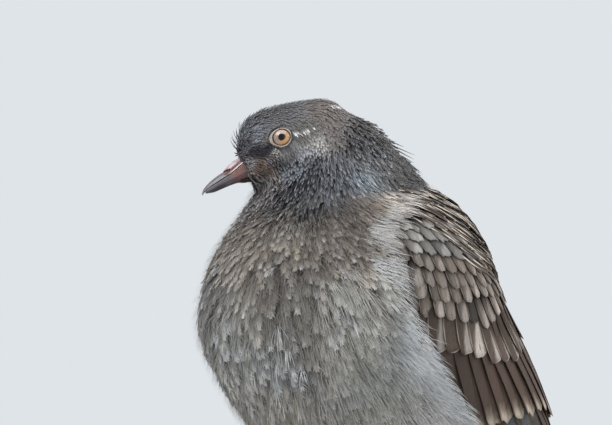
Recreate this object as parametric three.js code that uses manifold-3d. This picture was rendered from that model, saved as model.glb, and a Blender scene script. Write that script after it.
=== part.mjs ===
// A feral rock dove standing at rest, life size, as a museum model.
// Millimetres, +Z up. The bird faces -Y, its left side is +X, and its head is turned to its right.
import * as THREE from "three";
import { mergeVertices } from "three/addons/utils/BufferGeometryUtils.js";
import Module from "manifold-3d";

const wasm = await Module();
wasm.setup();

const { Vector3 } = THREE;
const { PI, sin, cos, sqrt, abs, sign, floor, pow } = Math;
const radians = THREE.MathUtils.degToRad;
const clamp = THREE.MathUtils.clamp;
const mix = THREE.MathUtils.lerp;

// ---- Driving sizes
const gap = 0.35; // clearance between pieces that meet
const headPlace = { x: -7, y: -30, z: 210 }; // the line through both eyes, at its middle
const headTurn = 44; // degrees to the bird's right
const headNod = 24; // degrees below level
const eyeRadius = 5.6;
const eyeSide = 7.2; // from the head's middle to an eyeball's centre
const floorClearance = 0.6; // claw tips stay this far above the floor
const footSide = 21; // from the body's middle to a foot
const footAt = 16; // the ball of the foot, along Y
const footSplay = 8; // degrees that the toes turn out
const ankle = { y: 29, z: 32 };
const toeRadius = 2.7;
const sides = { torso: 22, head: 18, bill: 12, tail: 14, thigh: 12, tarsus: 8, toe: 6 }; // of a section

// Torso and neck, from the tail's root to the nape. Each row is an oval section square to the body's
// axis: its centre, the axis's angle above level, its half width, and its depth to the back and front.
const torsoRows = [
  { x: 0, y: 91, z: 66, lean: 35, wide: 13.5, back: 9.5, front: 12 }, // tail root
  { x: 0, y: 79, z: 75, lean: 39, wide: 24, back: 17, front: 24 }, // vent
  { x: 0, y: 63, z: 88, lean: 46, wide: 34, back: 26.5, front: 37.5 },
  { x: 0, y: 46, z: 105, lean: 53, wide: 41, back: 32, front: 48 }, // belly
  { x: 0, y: 28, z: 124, lean: 60, wide: 44, back: 34.5, front: 57.5 },
  { x: 0, y: 11, z: 144, lean: 66, wide: 46, back: 35, front: 65 }, // breast
  { x: 0, y: 1, z: 162, lean: 73, wide: 46.5, back: 36.5, front: 66.5 },
  { x: -1, y: -3, z: 178, lean: 80, wide: 40.5, back: 38.5, front: 52 }, // crop
  { x: -2, y: -6, z: 192, lean: 86, wide: 32.5, back: 35, front: 31 }, // base of the neck
  { x: -1, y: -9, z: 204, lean: 92, wide: 25, back: 27.6, front: 22 },
  { x: 0, y: -11, z: 215, lean: 100, wide: 16.5, back: 18.2, front: 14 }, // nape
  { x: -1, y: -14, z: 222, lean: 105, wide: 9, back: 11.5, front: 7 },
];
const squareness = 0.94; // below 1 a section is fuller than an ellipse
const neckStart = 7.3; // where the neck is parted from the trunk, in rows

// Head, from the back of the skull to the bill's root, in the head's own frame: ahead of the eyes,
// then the height of the crown and of the chin from the line of the eyes, and the half width.
const headRows = [
  { ahead: -24.5, top: 3, under: -3, wide: 3 },
  { ahead: -21, top: 7.2, under: -9, wide: 8.5 },
  { ahead: -14, top: 9.9, under: -13, wide: 11.6 }, // back of the skull
  { ahead: -4, top: 11.9, under: -15, wide: 12.8 }, // crown
  { ahead: 4, top: 12.2, under: -14.8, wide: 12.4 },
  { ahead: 10, top: 10.4, under: -13.4, wide: 10.6 }, // forehead
  { ahead: 14.5, top: 6.4, under: -11.6, wide: 7.8 },
  { ahead: 16.8, top: 0.8, under: -9.4, wide: 5.2 }, // bill's root
];

// Bill, from inside the face to its tip: the height of the culmen, of the gape line where the two
// halves meet, and of the underside from the line of the eyes, and the half width.
const billRows = [
  { ahead: 13, culmen: -0.4, gape: -2, under: -8.7, wide: 4.2 },
  { ahead: 17, culmen: -1.4, gape: -3.2, under: -8.3, wide: 4 },
  { ahead: 21, culmen: -2.1, gape: -4.3, under: -7.5, wide: 3.3 },
  { ahead: 25, culmen: -2.6, gape: -4.9, under: -7.4, wide: 2.7 },
  { ahead: 29, culmen: -3.7, gape: -5.5, under: -7.4, wide: 2.1 },
  { ahead: 31.8, culmen: -5.1, gape: -6.2, under: -7.1, wide: 1.3 },
  { ahead: 33, culmen: -6.5, gape: -7.1, under: -7.4, wide: 0.5 },
];
const lowerBillEnd = 4.9; // the lower half stops short of the tip, in rows
const cere = { ahead: 19.5, height: -2.45, long: 4.9, wide: 2.3, high: 1.75, side: 1.5, slope: 19 };

// The free end of a folded wing, beyond the belly: sections like the torso's, from the tip inward.
const bladeRows = [
  { x: 0, y: 146, z: 27.5, lean: 38, wide: 10, back: 9, front: 8 }, // tip
  { x: 0, y: 126, z: 41.5, lean: 40, wide: 15.5, back: 13, front: 14 },
  { x: 0, y: 104, z: 57.5, lean: 42, wide: 22, back: 17.5, front: 20 },
  { x: 0, y: 83, z: 73, lean: 44, wide: 28.5, back: 22, front: 30 },
];
// A folded wing, from the bend to the tip: where it lies on the bed of sections, its low edge on the
// flank and its high edge by the spine in degrees round the body, and how thick it is.
const wingBed = [...bladeRows, ...torsoRows.slice(2)];
const wingRows = [
  { at: 10.1, low: 8, high: 26, thick: 1.6 }, // bend
  { at: 9.7, low: -6, high: 42, thick: 3 },
  { at: 9, low: -13, high: 58, thick: 4.5 }, // shoulder
  { at: 8, low: -16, high: 68, thick: 5 },
  { at: 7, low: -16, high: 74, thick: 5 }, // median coverts
  { at: 6, low: -14, high: 79, thick: 5 },
  { at: 5, low: -11, high: 82, thick: 5 }, // greater coverts
  { at: 4, low: -6, high: 84, thick: 5 }, // secondaries
  { at: 3, low: 3, high: 85, thick: 5 },
  { at: 2, low: 15, high: 86, thick: 4.5 }, // primaries
  { at: 1, low: 27, high: 85, thick: 3 },
  { at: 0, low: 42, high: 78, thick: 1.4 }, // tip
];
const wingSteps = 6; // facets from edge to edge
const rim = 1.2; // the wing's thickness along its edges
const primariesStart = 7.6; // where the primaries are parted from the coverts, in rows

// Tail, closed, from under the rump's coverts to the square end.
const tailPitch = 34; // degrees below level
const tailRows = [
  { along: 0.4, wide: 13, over: 9, under: 11.6 },
  { along: 14, wide: 15.4, over: 8, under: 10.6 },
  { along: 32, wide: 17.2, over: 5, under: 7 },
  { along: 52, wide: 18.4, over: 2.6, under: 3.6 },
  { along: 78, wide: 20, over: 1.5, under: 1.6 },
  { along: 94, wide: 21, over: 1, under: 1 },
  { along: 99, wide: 19, over: 0.7, under: 0.6 },
  { along: 101.5, wide: 13.5, over: 0.5, under: 0.4 },
];

// Toes: the way each points from straight ahead, its length without the claw, its pads and thickness.
const toes = [
  { name: "middle", points: 2, long: 28, pads: 3, girth: 1 },
  { name: "inner", points: 34, long: 21, pads: 2, girth: 0.92 },
  { name: "outer", points: -32, long: 22, pads: 3, girth: 0.9 },
  { name: "hind", points: 176, long: 13, pads: 1, girth: 0.92 },
];
const clawLong = 7;

// ---- Colours, by part of the bird
const finish = (color, roughness) => new THREE.MeshStandardMaterial({ color, roughness, metalness: 0 });
const finishes = {
  trunk: finish(0x85807a, 0.95),
  neck: finish(0x55524f, 0.9),
  head: finish(0x4b4743, 0.9),
  wing: finish(0x6e6459, 0.85),
  quill: finish(0x4f453d, 0.8),
  tail: finish(0x5d5854, 0.8),
  bill: finish(0x4a403e, 0.45),
  cere: finish(0x8d7470, 0.6),
  eye: finish(0xc58a4a, 0.15),
  thigh: finish(0x8f8b86, 0.95),
  skin: finish(0x9a4a44, 0.6),
  claw: finish(0x2e2826, 0.4),
};

// ---- Making closed solids

// Reads a table of rows at any place t between them, with each number on a smooth curve.
function readRows(rows, t) {
  const row = clamp(floor(t), 0, rows.length - 2);
  const u = t - row;
  const read = {};
  for (const key of Object.keys(rows[0])) {
    const [a, b, c, d] = [-1, 0, 1, 2].map((k) => rows[clamp(row + k, 0, rows.length - 1)][key]);
    const cubic = (3 * (b - c) + d - a) * u * u * u;
    read[key] = b + 0.5 * ((c - a) * u + (2 * a - 5 * b + 4 * c - d) * u * u + cubic);
  }
  return read;
}

// An oval's point at an angle from its side: half width, height above, depth below, and squareness.
function oval(angle, wide, above, below, squareness = 1) {
  const c = cos(angle);
  const s = sin(angle);
  const across = sign(c) * pow(abs(c), squareness);
  const up = sign(s) * pow(abs(s), squareness);
  return [wide * across, up * (s > 0 ? above : below)];
}

// A closed mesh through rings of points, with a fan over each end. Its faces point out.
function loftOf(rings) {
  const count = rings[0].length;
  const corner = (ring, i) => ring * count + (i % count);
  const index = [];
  for (let ring = 0; ring + 1 < rings.length; ring++) {
    for (let i = 0; i < count; i++) {
      const [a, b] = [corner(ring, i), corner(ring, i + 1)];
      const [c, d] = [corner(ring + 1, i + 1), corner(ring + 1, i)];
      index.push(a, b, c, a, c, d);
    }
  }
  const middles = [rings[0], rings.at(-1)].map((ring) =>
    ring.reduce((sum, p) => sum.add(p), new Vector3()).divideScalar(count),
  );
  const firstMiddle = rings.length * count;
  const last = rings.length - 1;
  for (let i = 0; i < count; i++) {
    index.push(corner(0, i + 1), corner(0, i), firstMiddle);
    index.push(corner(last, i), corner(last, i + 1), firstMiddle + 1);
  }
  const points = [...rings.flat(), ...middles];
  let volume = 0;
  for (let i = 0; i < index.length; i += 3) {
    const [a, b, c] = [points[index[i]], points[index[i + 1]], points[index[i + 2]]];
    volume += a.dot(new Vector3().crossVectors(b, c));
  }
  if (volume < 0) index.reverse();
  return new THREE.BufferGeometry().setFromPoints(points).setIndex(index);
}

// Rings at even steps between two places, each ring read at even angles.
function ringsOf(from, to, steps, count, pointAt) {
  const angles = Array.from({ length: count }, (_, i) => (2 * PI * i) / count);
  const places = Array.from({ length: steps + 1 }, (_, i) => mix(from, to, i / steps));
  return places.map((t) => angles.map((angle) => pointAt(t, angle)));
}

function solidOf(geometry) {
  const bare = geometry.clone();
  for (const name of ["normal", "uv"]) bare.deleteAttribute(name);
  const merged = mergeVertices(bare, 1e-4);
  const vertProperties = new Float32Array(merged.attributes.position.array);
  const triVerts = new Uint32Array(merged.index.array);
  return new wasm.Manifold(new wasm.Mesh({ numProp: 3, vertProperties, triVerts }));
}

function geometryOf(solid) {
  const { vertProperties, triVerts } = solid.getMesh();
  const geometry = new THREE.BufferGeometry();
  geometry.setAttribute("position", new THREE.BufferAttribute(new Float32Array(vertProperties), 3));
  geometry.setIndex(new THREE.BufferAttribute(new Uint32Array(triVerts), 1));
  geometry.computeVertexNormals();
  return geometry;
}

// What is left of one shape after others are cut from it: its largest piece.
function cutFrom(geometry, ...cutters) {
  const left = cutters.reduce((solid, cutter) => solid.subtract(solidOf(cutter)), solidOf(geometry));
  const pieces = left.decompose().sort((a, b) => b.volume() - a.volume());
  return geometryOf(pieces[0]);
}

const bird = new THREE.Group();

function addPiece(name, geometry, material, parent = bird) {
  const mesh = new THREE.Mesh(geometry, material);
  mesh.name = name;
  parent.add(mesh);
}

// ---- Torso and neck

function torsoPoint(t, angle, grow) {
  const row = readRows(torsoRows, t);
  const [x, h] = oval(angle, row.wide + grow, row.back + grow, row.front + grow, squareness);
  const lean = radians(row.lean);
  return new Vector3(row.x + x, row.y + h * sin(lean), row.z + h * cos(lean));
}

function torsoPart(from, to, steps, grow = 0) {
  return loftOf(ringsOf(from, to, steps, sides.torso, (t, angle) => torsoPoint(t, angle, grow)));
}

// ---- Head, in its own frame: ahead is -Y, left is +X

const headFrame = new THREE.Group();
headFrame.position.set(headPlace.x, headPlace.y, headPlace.z);
headFrame.rotation.set(radians(headNod), 0, -radians(headTurn), "ZXY");
headFrame.updateMatrix();
bird.add(headFrame);

function headShape(grow = 0) {
  const pointAt = (t, angle) => {
    const row = readRows(headRows, t);
    const middle = mix(row.under, row.top, 0.46);
    const [x, h] = oval(angle, row.wide + grow, row.top - middle + grow, middle - row.under + grow, 0.95);
    return new Vector3(x, -row.ahead, middle + h);
  };
  return loftOf(ringsOf(0, headRows.length - 1, 10, sides.head, pointAt));
}

function upperBill(grow = 0) {
  const pointAt = (t, angle) => {
    const row = readRows(billRows, t);
    const edge = row.gape + gap / 2 - grow;
    const [x, h] = oval(angle, row.wide + grow, row.culmen - edge + grow, 0.01);
    return new Vector3(x, -row.ahead, edge + h);
  };
  return loftOf(ringsOf(0, billRows.length - 1, 12, sides.bill, pointAt));
}

function lowerBill(grow = 0) {
  const pointAt = (t, angle) => {
    const row = readRows(billRows, t);
    const edge = row.gape - gap / 2 + grow;
    const deep = Math.max(edge - row.under, 0.5) + grow;
    const [x, h] = oval(angle, row.wide * 0.94 + grow, 0.01, deep);
    return new Vector3(x, -row.ahead, edge + h);
  };
  return loftOf(ringsOf(0, lowerBillEnd, 10, sides.bill, pointAt));
}

// The cere: two soft lobes side by side, saddled over the root of the upper bill.
function cereShape(grow = 0) {
  const lobes = [-1, 1].map((side) => {
    const lobe = new THREE.SphereGeometry(1, 10, 8).toNonIndexed();
    lobe.scale(cere.wide + grow, cere.long + grow, cere.high + grow);
    lobe.rotateX(radians(cere.slope));
    lobe.translate(side * cere.side, -cere.ahead, cere.height);
    return solidOf(lobe);
  });
  return geometryOf(lobes[0].add(lobes[1]));
}

function eyeShape(side, grow = 0) {
  const ball = new THREE.SphereGeometry(eyeRadius + grow, 12, 9).toNonIndexed();
  ball.rotateZ(PI / 2);
  ball.translate(side * eyeSide, 0, 0);
  return ball;
}

function addHead() {
  const sockets = [eyeShape(1, gap), eyeShape(-1, gap)];
  const skull = cutFrom(headShape(), ...sockets, upperBill(gap), lowerBill(gap), cereShape(gap));
  addPiece("head", skull, finishes.head, headFrame);
  addPiece("bill_upper", upperBill(), finishes.bill, headFrame);
  addPiece("bill_lower", lowerBill(), finishes.bill, headFrame);
  addPiece("cere", cutFrom(cereShape(), upperBill(gap)), finishes.cere, headFrame);
  addPiece("eye_left", eyeShape(1), finishes.eye, headFrame);
  addPiece("eye_right", eyeShape(-1), finishes.eye, headFrame);
}

function addTorso() {
  const last = torsoRows.length - 1;
  const headParts = [headShape(gap), eyeShape(1, gap), eyeShape(-1, gap)];
  const headOut = headParts.map((part) => part.applyMatrix4(headFrame.matrix));
  addPiece("trunk", torsoPart(0, neckStart, 16), finishes.trunk);
  addPiece("neck", cutFrom(torsoPart(neckStart + gap / 14, last, 9), ...headOut), finishes.neck);
}

// ---- Wings

// The outer face rises from the bed; the inner face lies in it, where the torso then cuts it away.
function wingRing(place, side) {
  const { at, low, high, thick } = readRows(wingRows, place);
  const row = readRows(wingBed, at);
  const lean = radians(row.lean);
  const sunk = clamp(at - 2, 0.5, 3);
  const pointAt = (share, rise) => {
    const angle = radians(mix(low, high, share));
    const [x, h] = oval(angle, row.wide + rise, row.back + rise, row.front + rise, squareness);
    return new Vector3(row.x + side * x, row.y + h * sin(lean), row.z + h * cos(lean));
  };
  const shares = Array.from({ length: wingSteps + 1 }, (_, i) => i / wingSteps);
  const bulge = (share) => sqrt(1 - pow(abs(2 * share - 1), 2.6));
  const outer = shares.map((share) => pointAt(share, gap + mix(rim, thick, bulge(share))));
  const inner = shares.map((share) => pointAt(share, gap - sunk * bulge(share)));
  return [...outer, ...inner.reverse()];
}

function wingPart(side, from, to, steps) {
  return loftOf(Array.from({ length: steps + 1 }, (_, i) => wingRing(mix(from, to, i / steps), side)));
}

function addWing(name, side) {
  const body = torsoPart(0, torsoRows.length - 1, 20, 1.6 * gap);
  const last = wingRows.length - 1;
  const coverts = cutFrom(wingPart(side, 0, primariesStart, 11), body);
  const quills = cutFrom(wingPart(side, primariesStart + gap / 20, last, 7), body);
  addPiece(`wing_${name}`, coverts, finishes.wing);
  addPiece(`primaries_${name}`, quills, finishes.quill);
}

// ---- Tail

function addTail() {
  const pitch = radians(tailPitch);
  const root = torsoRows[0];
  const pointAt = (t, angle) => {
    const row = readRows(tailRows, t);
    const [x, h] = oval(angle, row.wide, row.over, row.under, 0.85);
    const y = root.y + row.along * cos(pitch) + h * sin(pitch);
    return new Vector3(x, y, root.z - row.along * sin(pitch) + h * cos(pitch));
  };
  const whole = loftOf(ringsOf(0, tailRows.length - 1, 11, sides.tail, pointAt));
  addPiece("tail", cutFrom(whole, torsoPart(0, 3, 6, gap)), finishes.tail);
}

// ---- Legs

// A bar along a curve, with its half width and half depth read at each place.
function barAlong(curve, steps, count, radiusAt) {
  const rings = [];
  for (let step = 0; step <= steps; step++) {
    const t = step / steps;
    const centre = curve.getPoint(t);
    const ahead = curve.getTangent(t);
    const across = new Vector3(1, 0, 0).addScaledVector(ahead, -ahead.x).normalize();
    const up = new Vector3().crossVectors(ahead, across);
    const [wide, deep] = radiusAt(t);
    const ring = Array.from({ length: count }, (_, i) => {
      const angle = (2 * PI * i) / count;
      const p = centre.clone().addScaledVector(across, wide * cos(angle));
      return p.addScaledVector(up, deep * sin(angle));
    });
    rings.push(ring);
  }
  return loftOf(rings);
}

// Everything below the floor is cut away, which leaves a small flat under each toe.
const belowFloor = new THREE.BoxGeometry(400, 400, 40).toNonIndexed().translate(0, 0, -20);

function thighShape(side) {
  const curve = new THREE.CatmullRomCurve3([
    new Vector3(side * (footSide - 2), 27, 98),
    new Vector3(side * (footSide - 1), 24, 78),
    new Vector3(side * footSide, 26, 55),
    new Vector3(side * footSide, ankle.y + 1, ankle.z),
  ]);
  const radiusAt = (t) => {
    const drum = cos((PI / 2) * pow(t, 1.5));
    return [mix(4.4, 14, drum), mix(4.6, 16.5, drum)];
  };
  return barAlong(curve, 9, sides.thigh, radiusAt);
}

function tarsusShape(side, grow = 0) {
  const curve = new THREE.CatmullRomCurve3([
    new Vector3(side * footSide, ankle.y + 1.5, ankle.z + 9),
    new Vector3(side * footSide, ankle.y, ankle.z),
    new Vector3(side * footSide, mix(ankle.y, footAt, 0.5), mix(ankle.z, 4, 0.5)),
    new Vector3(side * footSide, footAt + 1.5, 5.2),
    new Vector3(side * footSide, footAt - 0.5, 2.4),
  ]);
  const radiusAt = (t) => {
    const knuckle = 0.9 * Math.exp(-pow((t - 0.2) / 0.1, 2)) + 1.5 * Math.exp(-pow((t - 0.95) / 0.13, 2));
    return [2.1 + knuckle + grow, 2.5 + knuckle + grow];
  };
  return barAlong(curve, 10, sides.tarsus, radiusAt);
}

// The way a toe points over the floor, for a foot on this side.
function toeHeading(toe, side) {
  const angle = radians(footSplay - toe.points) * side;
  return new Vector3(sin(angle), -cos(angle), 0);
}

function toeCurve(toe, side, from, to) {
  const start = new Vector3(side * footSide, footAt, 0);
  const heading = toeHeading(toe, side);
  const radius = toeRadius * toe.girth;
  const heights = [0.9, 0.68, 0.6, 0.52].map((share) => share * radius);
  const points = heights.map((height, i) => {
    const along = mix(from, to, i / (heights.length - 1));
    return start.clone().addScaledVector(heading, along).setZ(height);
  });
  return new THREE.CatmullRomCurve3(points);
}

function toeShape(toe, side, grow = 0) {
  const radiusAt = (t) => {
    const pad = 1 + 0.1 * cos(2 * PI * (toe.pads * t - 0.45));
    const end = sqrt(Math.max(0.2, 1 - pow(Math.max(0, (t - 0.86) / 0.15), 2)));
    const radius = toeRadius * toe.girth * mix(1, 0.68, t) * pad * end;
    return [radius + grow, radius * 0.92 + grow];
  };
  return barAlong(toeCurve(toe, side, 0.5, toe.long), 3 * toe.pads + 2, sides.toe, radiusAt);
}

function clawShape(toe, side, grow = 0) {
  const heading = toeHeading(toe, side);
  const root = new Vector3(side * footSide, footAt, 0).addScaledVector(heading, toe.long - 2.2);
  const long = clawLong * toe.girth;
  const heights = [1.8, 2.2, 1.8, floorClearance + 0.25];
  const reach = [0, 0.36, 0.72, 1];
  const points = heights.map((height, i) =>
    root.clone().addScaledVector(heading, long * reach[i]).setZ(height),
  );
  const radiusAt = (t) => [mix(1.15, 0.22, t) + grow, mix(1.3, 0.22, t) + grow];
  return barAlong(new THREE.CatmullRomCurve3(points), 5, sides.toe, radiusAt);
}

function addLeg(name, side) {
  const tarsus = tarsusShape(side);
  const tarsusOut = tarsusShape(side, gap);
  const body = torsoPart(0, torsoRows.length - 1, 20, 1.6 * gap);
  addPiece(`thigh_${name}`, cutFrom(thighShape(side), body, tarsusOut), finishes.thigh);
  addPiece(`tarsus_${name}`, cutFrom(tarsus, belowFloor), finishes.skin);
  for (const toe of toes) {
    const taken = toes.slice(0, toes.indexOf(toe)).map((other) => toeShape(other, side, gap));
    const flesh = cutFrom(toeShape(toe, side), belowFloor, tarsusOut, clawShape(toe, side, gap), ...taken);
    addPiece(`toe_${toe.name}_${name}`, flesh, finishes.skin);
    addPiece(`claw_${toe.name}_${name}`, clawShape(toe, side), finishes.claw);
  }
}

addTorso();
addHead();
addTail();
for (const [name, side] of Object.entries({ left: 1, right: -1 })) {
  addWing(name, side);
  addLeg(name, side);
}

// The frame's origin is on the floor, under the middle of the whole bird.
bird.updateMatrixWorld(true);
const whole = new THREE.Box3().setFromObject(bird, true);
bird.position.set(-(whole.min.x + whole.max.x) / 2, -(whole.min.y + whole.max.y) / 2, -whole.min.z);

export default bird;
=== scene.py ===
# A feral pigeon standing still, life size: skin, plumage, bill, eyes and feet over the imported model.
import math
from functools import partial
import bmesh
import bpy
import numpy as np
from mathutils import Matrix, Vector
from mathutils.bvhtree import BVHTree


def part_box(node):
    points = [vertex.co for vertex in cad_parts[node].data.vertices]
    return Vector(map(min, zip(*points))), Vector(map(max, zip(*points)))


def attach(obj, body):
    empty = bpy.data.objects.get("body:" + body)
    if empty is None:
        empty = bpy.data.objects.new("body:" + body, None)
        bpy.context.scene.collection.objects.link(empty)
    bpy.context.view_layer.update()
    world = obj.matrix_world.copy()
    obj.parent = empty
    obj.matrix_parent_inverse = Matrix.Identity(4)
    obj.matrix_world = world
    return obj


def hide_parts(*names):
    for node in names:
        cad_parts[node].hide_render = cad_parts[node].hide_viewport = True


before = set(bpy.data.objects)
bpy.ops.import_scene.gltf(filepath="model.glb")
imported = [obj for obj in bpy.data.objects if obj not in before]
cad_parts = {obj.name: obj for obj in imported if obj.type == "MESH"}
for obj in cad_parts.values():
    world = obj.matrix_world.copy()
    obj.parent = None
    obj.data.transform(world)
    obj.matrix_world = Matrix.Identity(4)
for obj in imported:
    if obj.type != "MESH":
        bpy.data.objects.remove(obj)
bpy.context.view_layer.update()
mm = 0.001
rng = np.random.default_rng(11)


def linear(colour):  # sRGB hex to linear numbers
    parts = [int(colour[i:i + 2], 16) / 255 for i in (1, 3, 5)]
    return np.array([c / 12.92 if c <= 0.04045 else ((c + 0.055) / 1.055) ** 2.4 for c in parts])


def unit(v):
    return v / np.maximum(np.linalg.norm(v, axis=-1, keepdims=True), 1e-12)


def smoothStep(low, high, x):
    t = np.clip((x - low) / (high - low), 0, 1)
    return t * t * (3 - 2 * t)


def mixed(a, b, share):
    return a + (b - a) * share


def boxOf(node):
    return [np.array(corner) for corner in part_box(node)]


def middleOf(node):
    low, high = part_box(node)
    return np.array((low + high) / 2)


def readAll(rows, field):  # a field of three numbers, of every row
    found = np.empty(len(rows) * 3, np.float32)
    rows.foreach_get(field, found)
    return found.reshape(-1, 3).astype(float)


def vertsOf(mesh):
    return readAll(mesh.vertices, "co")


def normalsOf(mesh):
    return readAll(mesh.vertex_normals, "vector")


def setVerts(mesh, verts):
    mesh.vertices.foreach_set("co", verts.astype(np.float32).ravel())
    mesh.update()


def makeMesh(name, verts, faces, smooth=True):  # faces: one array of triangles or of quads
    mesh = bpy.data.meshes.new(name)
    faces = np.asarray(faces, np.int32)
    corners = faces.shape[1]
    mesh.vertices.add(len(verts))
    mesh.vertices.foreach_set("co", np.asarray(verts, np.float32).ravel())
    mesh.loops.add(faces.size)
    mesh.loops.foreach_set("vertex_index", faces.ravel())
    mesh.polygons.add(len(faces))
    mesh.polygons.foreach_set("loop_start", np.arange(len(faces), dtype=np.int32) * corners)
    mesh.polygons.foreach_set("use_smooth", np.full(len(faces), smooth))
    mesh.update(calc_edges=True)
    mesh.validate()
    return mesh


def looseObject(name, data):
    piece = bpy.data.objects.new(name, data)
    bpy.context.scene.collection.objects.link(piece)
    return piece


def makePiece(name, mesh, material, replaced=()):
    piece = looseObject(name, mesh)
    mesh.materials.clear()
    mesh.materials.append(material)
    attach(piece, "root")
    if replaced:
        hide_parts(*replaced)
    return piece


def setNumbers(mesh, name, kind, values):  # a value for every vertex
    layer = mesh.attributes.new(name, kind, "POINT")
    layer.data.foreach_set("color" if kind == "FLOAT_COLOR" else "vector", np.asarray(values, np.float32).ravel())


def setTint(mesh, colours):
    setNumbers(mesh, "tint", "FLOAT_COLOR", np.column_stack([colours, np.ones(len(colours))]))


def setBakeMap(mesh, places):  # places: u and v of every vertex
    layer = mesh.uv_layers.new(name="OFBake")
    corners = np.empty(len(mesh.loops), np.int32)
    mesh.loops.foreach_get("vertex_index", corners)
    layer.uv.foreach_set("vector", np.asarray(places, np.float32)[corners].ravel())


def weldedCopy(node, grow=0.0):  # a CAD node's copy with its doubles merged, grown along its normals
    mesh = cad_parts[node].data.copy()
    work = bmesh.new()
    work.from_mesh(mesh)
    bmesh.ops.remove_doubles(work, verts=work.verts, dist=1e-6)
    work.normal_update()
    for v in work.verts:
        v.co += v.normal * grow
    work.to_mesh(mesh)
    work.free()
    mesh.materials.clear()
    for name in [a.name for a in mesh.attributes if a.name.startswith("UV")]:
        mesh.attributes.remove(mesh.attributes[name])
    return mesh


def joined(meshes):
    work = bmesh.new()
    for mesh in meshes:
        work.from_mesh(mesh)
    whole = bpy.data.meshes.new("joined")
    work.to_mesh(whole)
    work.free()
    return whole


def remeshed(mesh, voxel, smooth):  # one closed surface, smoothed, its largest island only
    piece = looseObject("remesh", mesh)
    remesh = piece.modifiers.new("remesh", "REMESH")
    remesh.mode = "VOXEL"
    remesh.voxel_size = voxel
    soften = piece.modifiers.new("soften", "SMOOTH")
    soften.factor = 0.5
    soften.iterations = smooth
    made = bpy.data.meshes.new_from_object(piece.evaluated_get(bpy.context.evaluated_depsgraph_get()))
    bpy.data.objects.remove(piece)
    work = bmesh.new()
    work.from_mesh(made)
    seen, islands = set(), []
    for start in work.verts:
        if start in seen:
            continue
        seen.add(start)
        island, reach = [start], [start]
        while reach:
            for edge in reach.pop().link_edges:
                for v in edge.verts:
                    if v not in seen:
                        seen.add(v)
                        island.append(v)
                        reach.append(v)
        islands.append(island)
    islands.sort(key=len)
    bmesh.ops.delete(work, geom=[v for island in islands[:-1] for v in island], context="VERTS")
    work.to_mesh(made)
    work.free()
    return made


def treeOf(mesh):
    mesh.calc_loop_triangles()
    tris = np.empty(len(mesh.loop_triangles) * 3, np.int32)
    mesh.loop_triangles.foreach_get("vertices", tris)
    tris = tris.reshape(-1, 3)
    return BVHTree.FromPolygons(vertsOf(mesh).tolist(), tris.tolist()), tris


view = {"lens": 147.06, "camera": (0.59577, -0.69851, 0.03301), "target": (-0.01992, -0.06094, 0.18930)}
studio = {
    "floorColour": "#dcdedd", "backColour": "#dfe4e8", "skyLight": 0.62,
    "key": {"at": (0.15, -1.15, 1.05), "size": 0.8, "power": 17},
    "fill": {"at": (1.3, -0.2, 0.35), "size": 1.2, "power": 5},
    "rim": {"at": (-0.6, 0.9, 0.9), "size": 0.8, "power": 8},
    "sky": {"at": (1.3, 0.75, 1.0), "size": 0.9, "power": 12},
}


def addAimed(name, data, at, target):  # a camera or a lamp that looks at a place
    holder = looseObject(name, data)
    holder.location = at
    holder.rotation_euler = (Vector(target) - Vector(at)).to_track_quat("-Z", "Y").to_euler()
    return holder


def addCamera():
    lens = bpy.data.cameras.new("camera")
    lens.lens, lens.sensor_width = view["lens"], 36
    lens.clip_start, lens.clip_end = 0.05, 30
    bpy.context.scene.camera = addAimed("camera", lens, view["camera"], view["target"])


def addLamp(name, plan):
    lamp = bpy.data.lights.new(name, "AREA")
    lamp.shape, lamp.size, lamp.energy = "DISK", plan["size"], plan["power"]
    addAimed(name, lamp, plan["at"], middleOf("neck"))


def hexRgba(colour):
    return (*linear(colour), 1.0)


# Adds a node with its settings. Feeds say an input's name or number, and its value or what is linked to it.
def addNode(tree, kind, settings=None, feeds=None, out=0):
    node = tree.nodes.new("ShaderNode" + kind)
    for key, value in (settings or {}).items():
        if key != "stops":
            setattr(node, key, value)
            continue
        points = node.color_ramp.elements
        while len(points) < len(value):
            points.new(0.5)
        for point, (place, level) in zip(points, value):  # a stop's level is a grey or a hex
            point.position = place
            point.color = hexRgba(level) if isinstance(level, str) else (level, level, level, 1)
    for key, value in (feeds or {}).items():
        socket = node.inputs[key]
        if isinstance(value, bpy.types.NodeSocket):
            tree.links.new(value, socket)
        elif isinstance(value, str):
            socket.default_value = hexRgba(value)
        elif socket.type == "RGBA":
            socket.default_value = (value, value, value, 1)
        else:
            socket.default_value = value
    return node.outputs[out] if len(node.outputs) else node


def startMaterial(name):
    material = bpy.data.materials.new(name)
    material.use_nodes = True
    material.node_tree.nodes.clear()
    return material, partial(addNode, material.node_tree)


times = {"operation": "MULTIPLY"}
tinted = {"data_type": "RGBA", "blend_type": "MULTIPLY"}  # inputs 0, 6 and 7 are the share and the two colours


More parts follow.
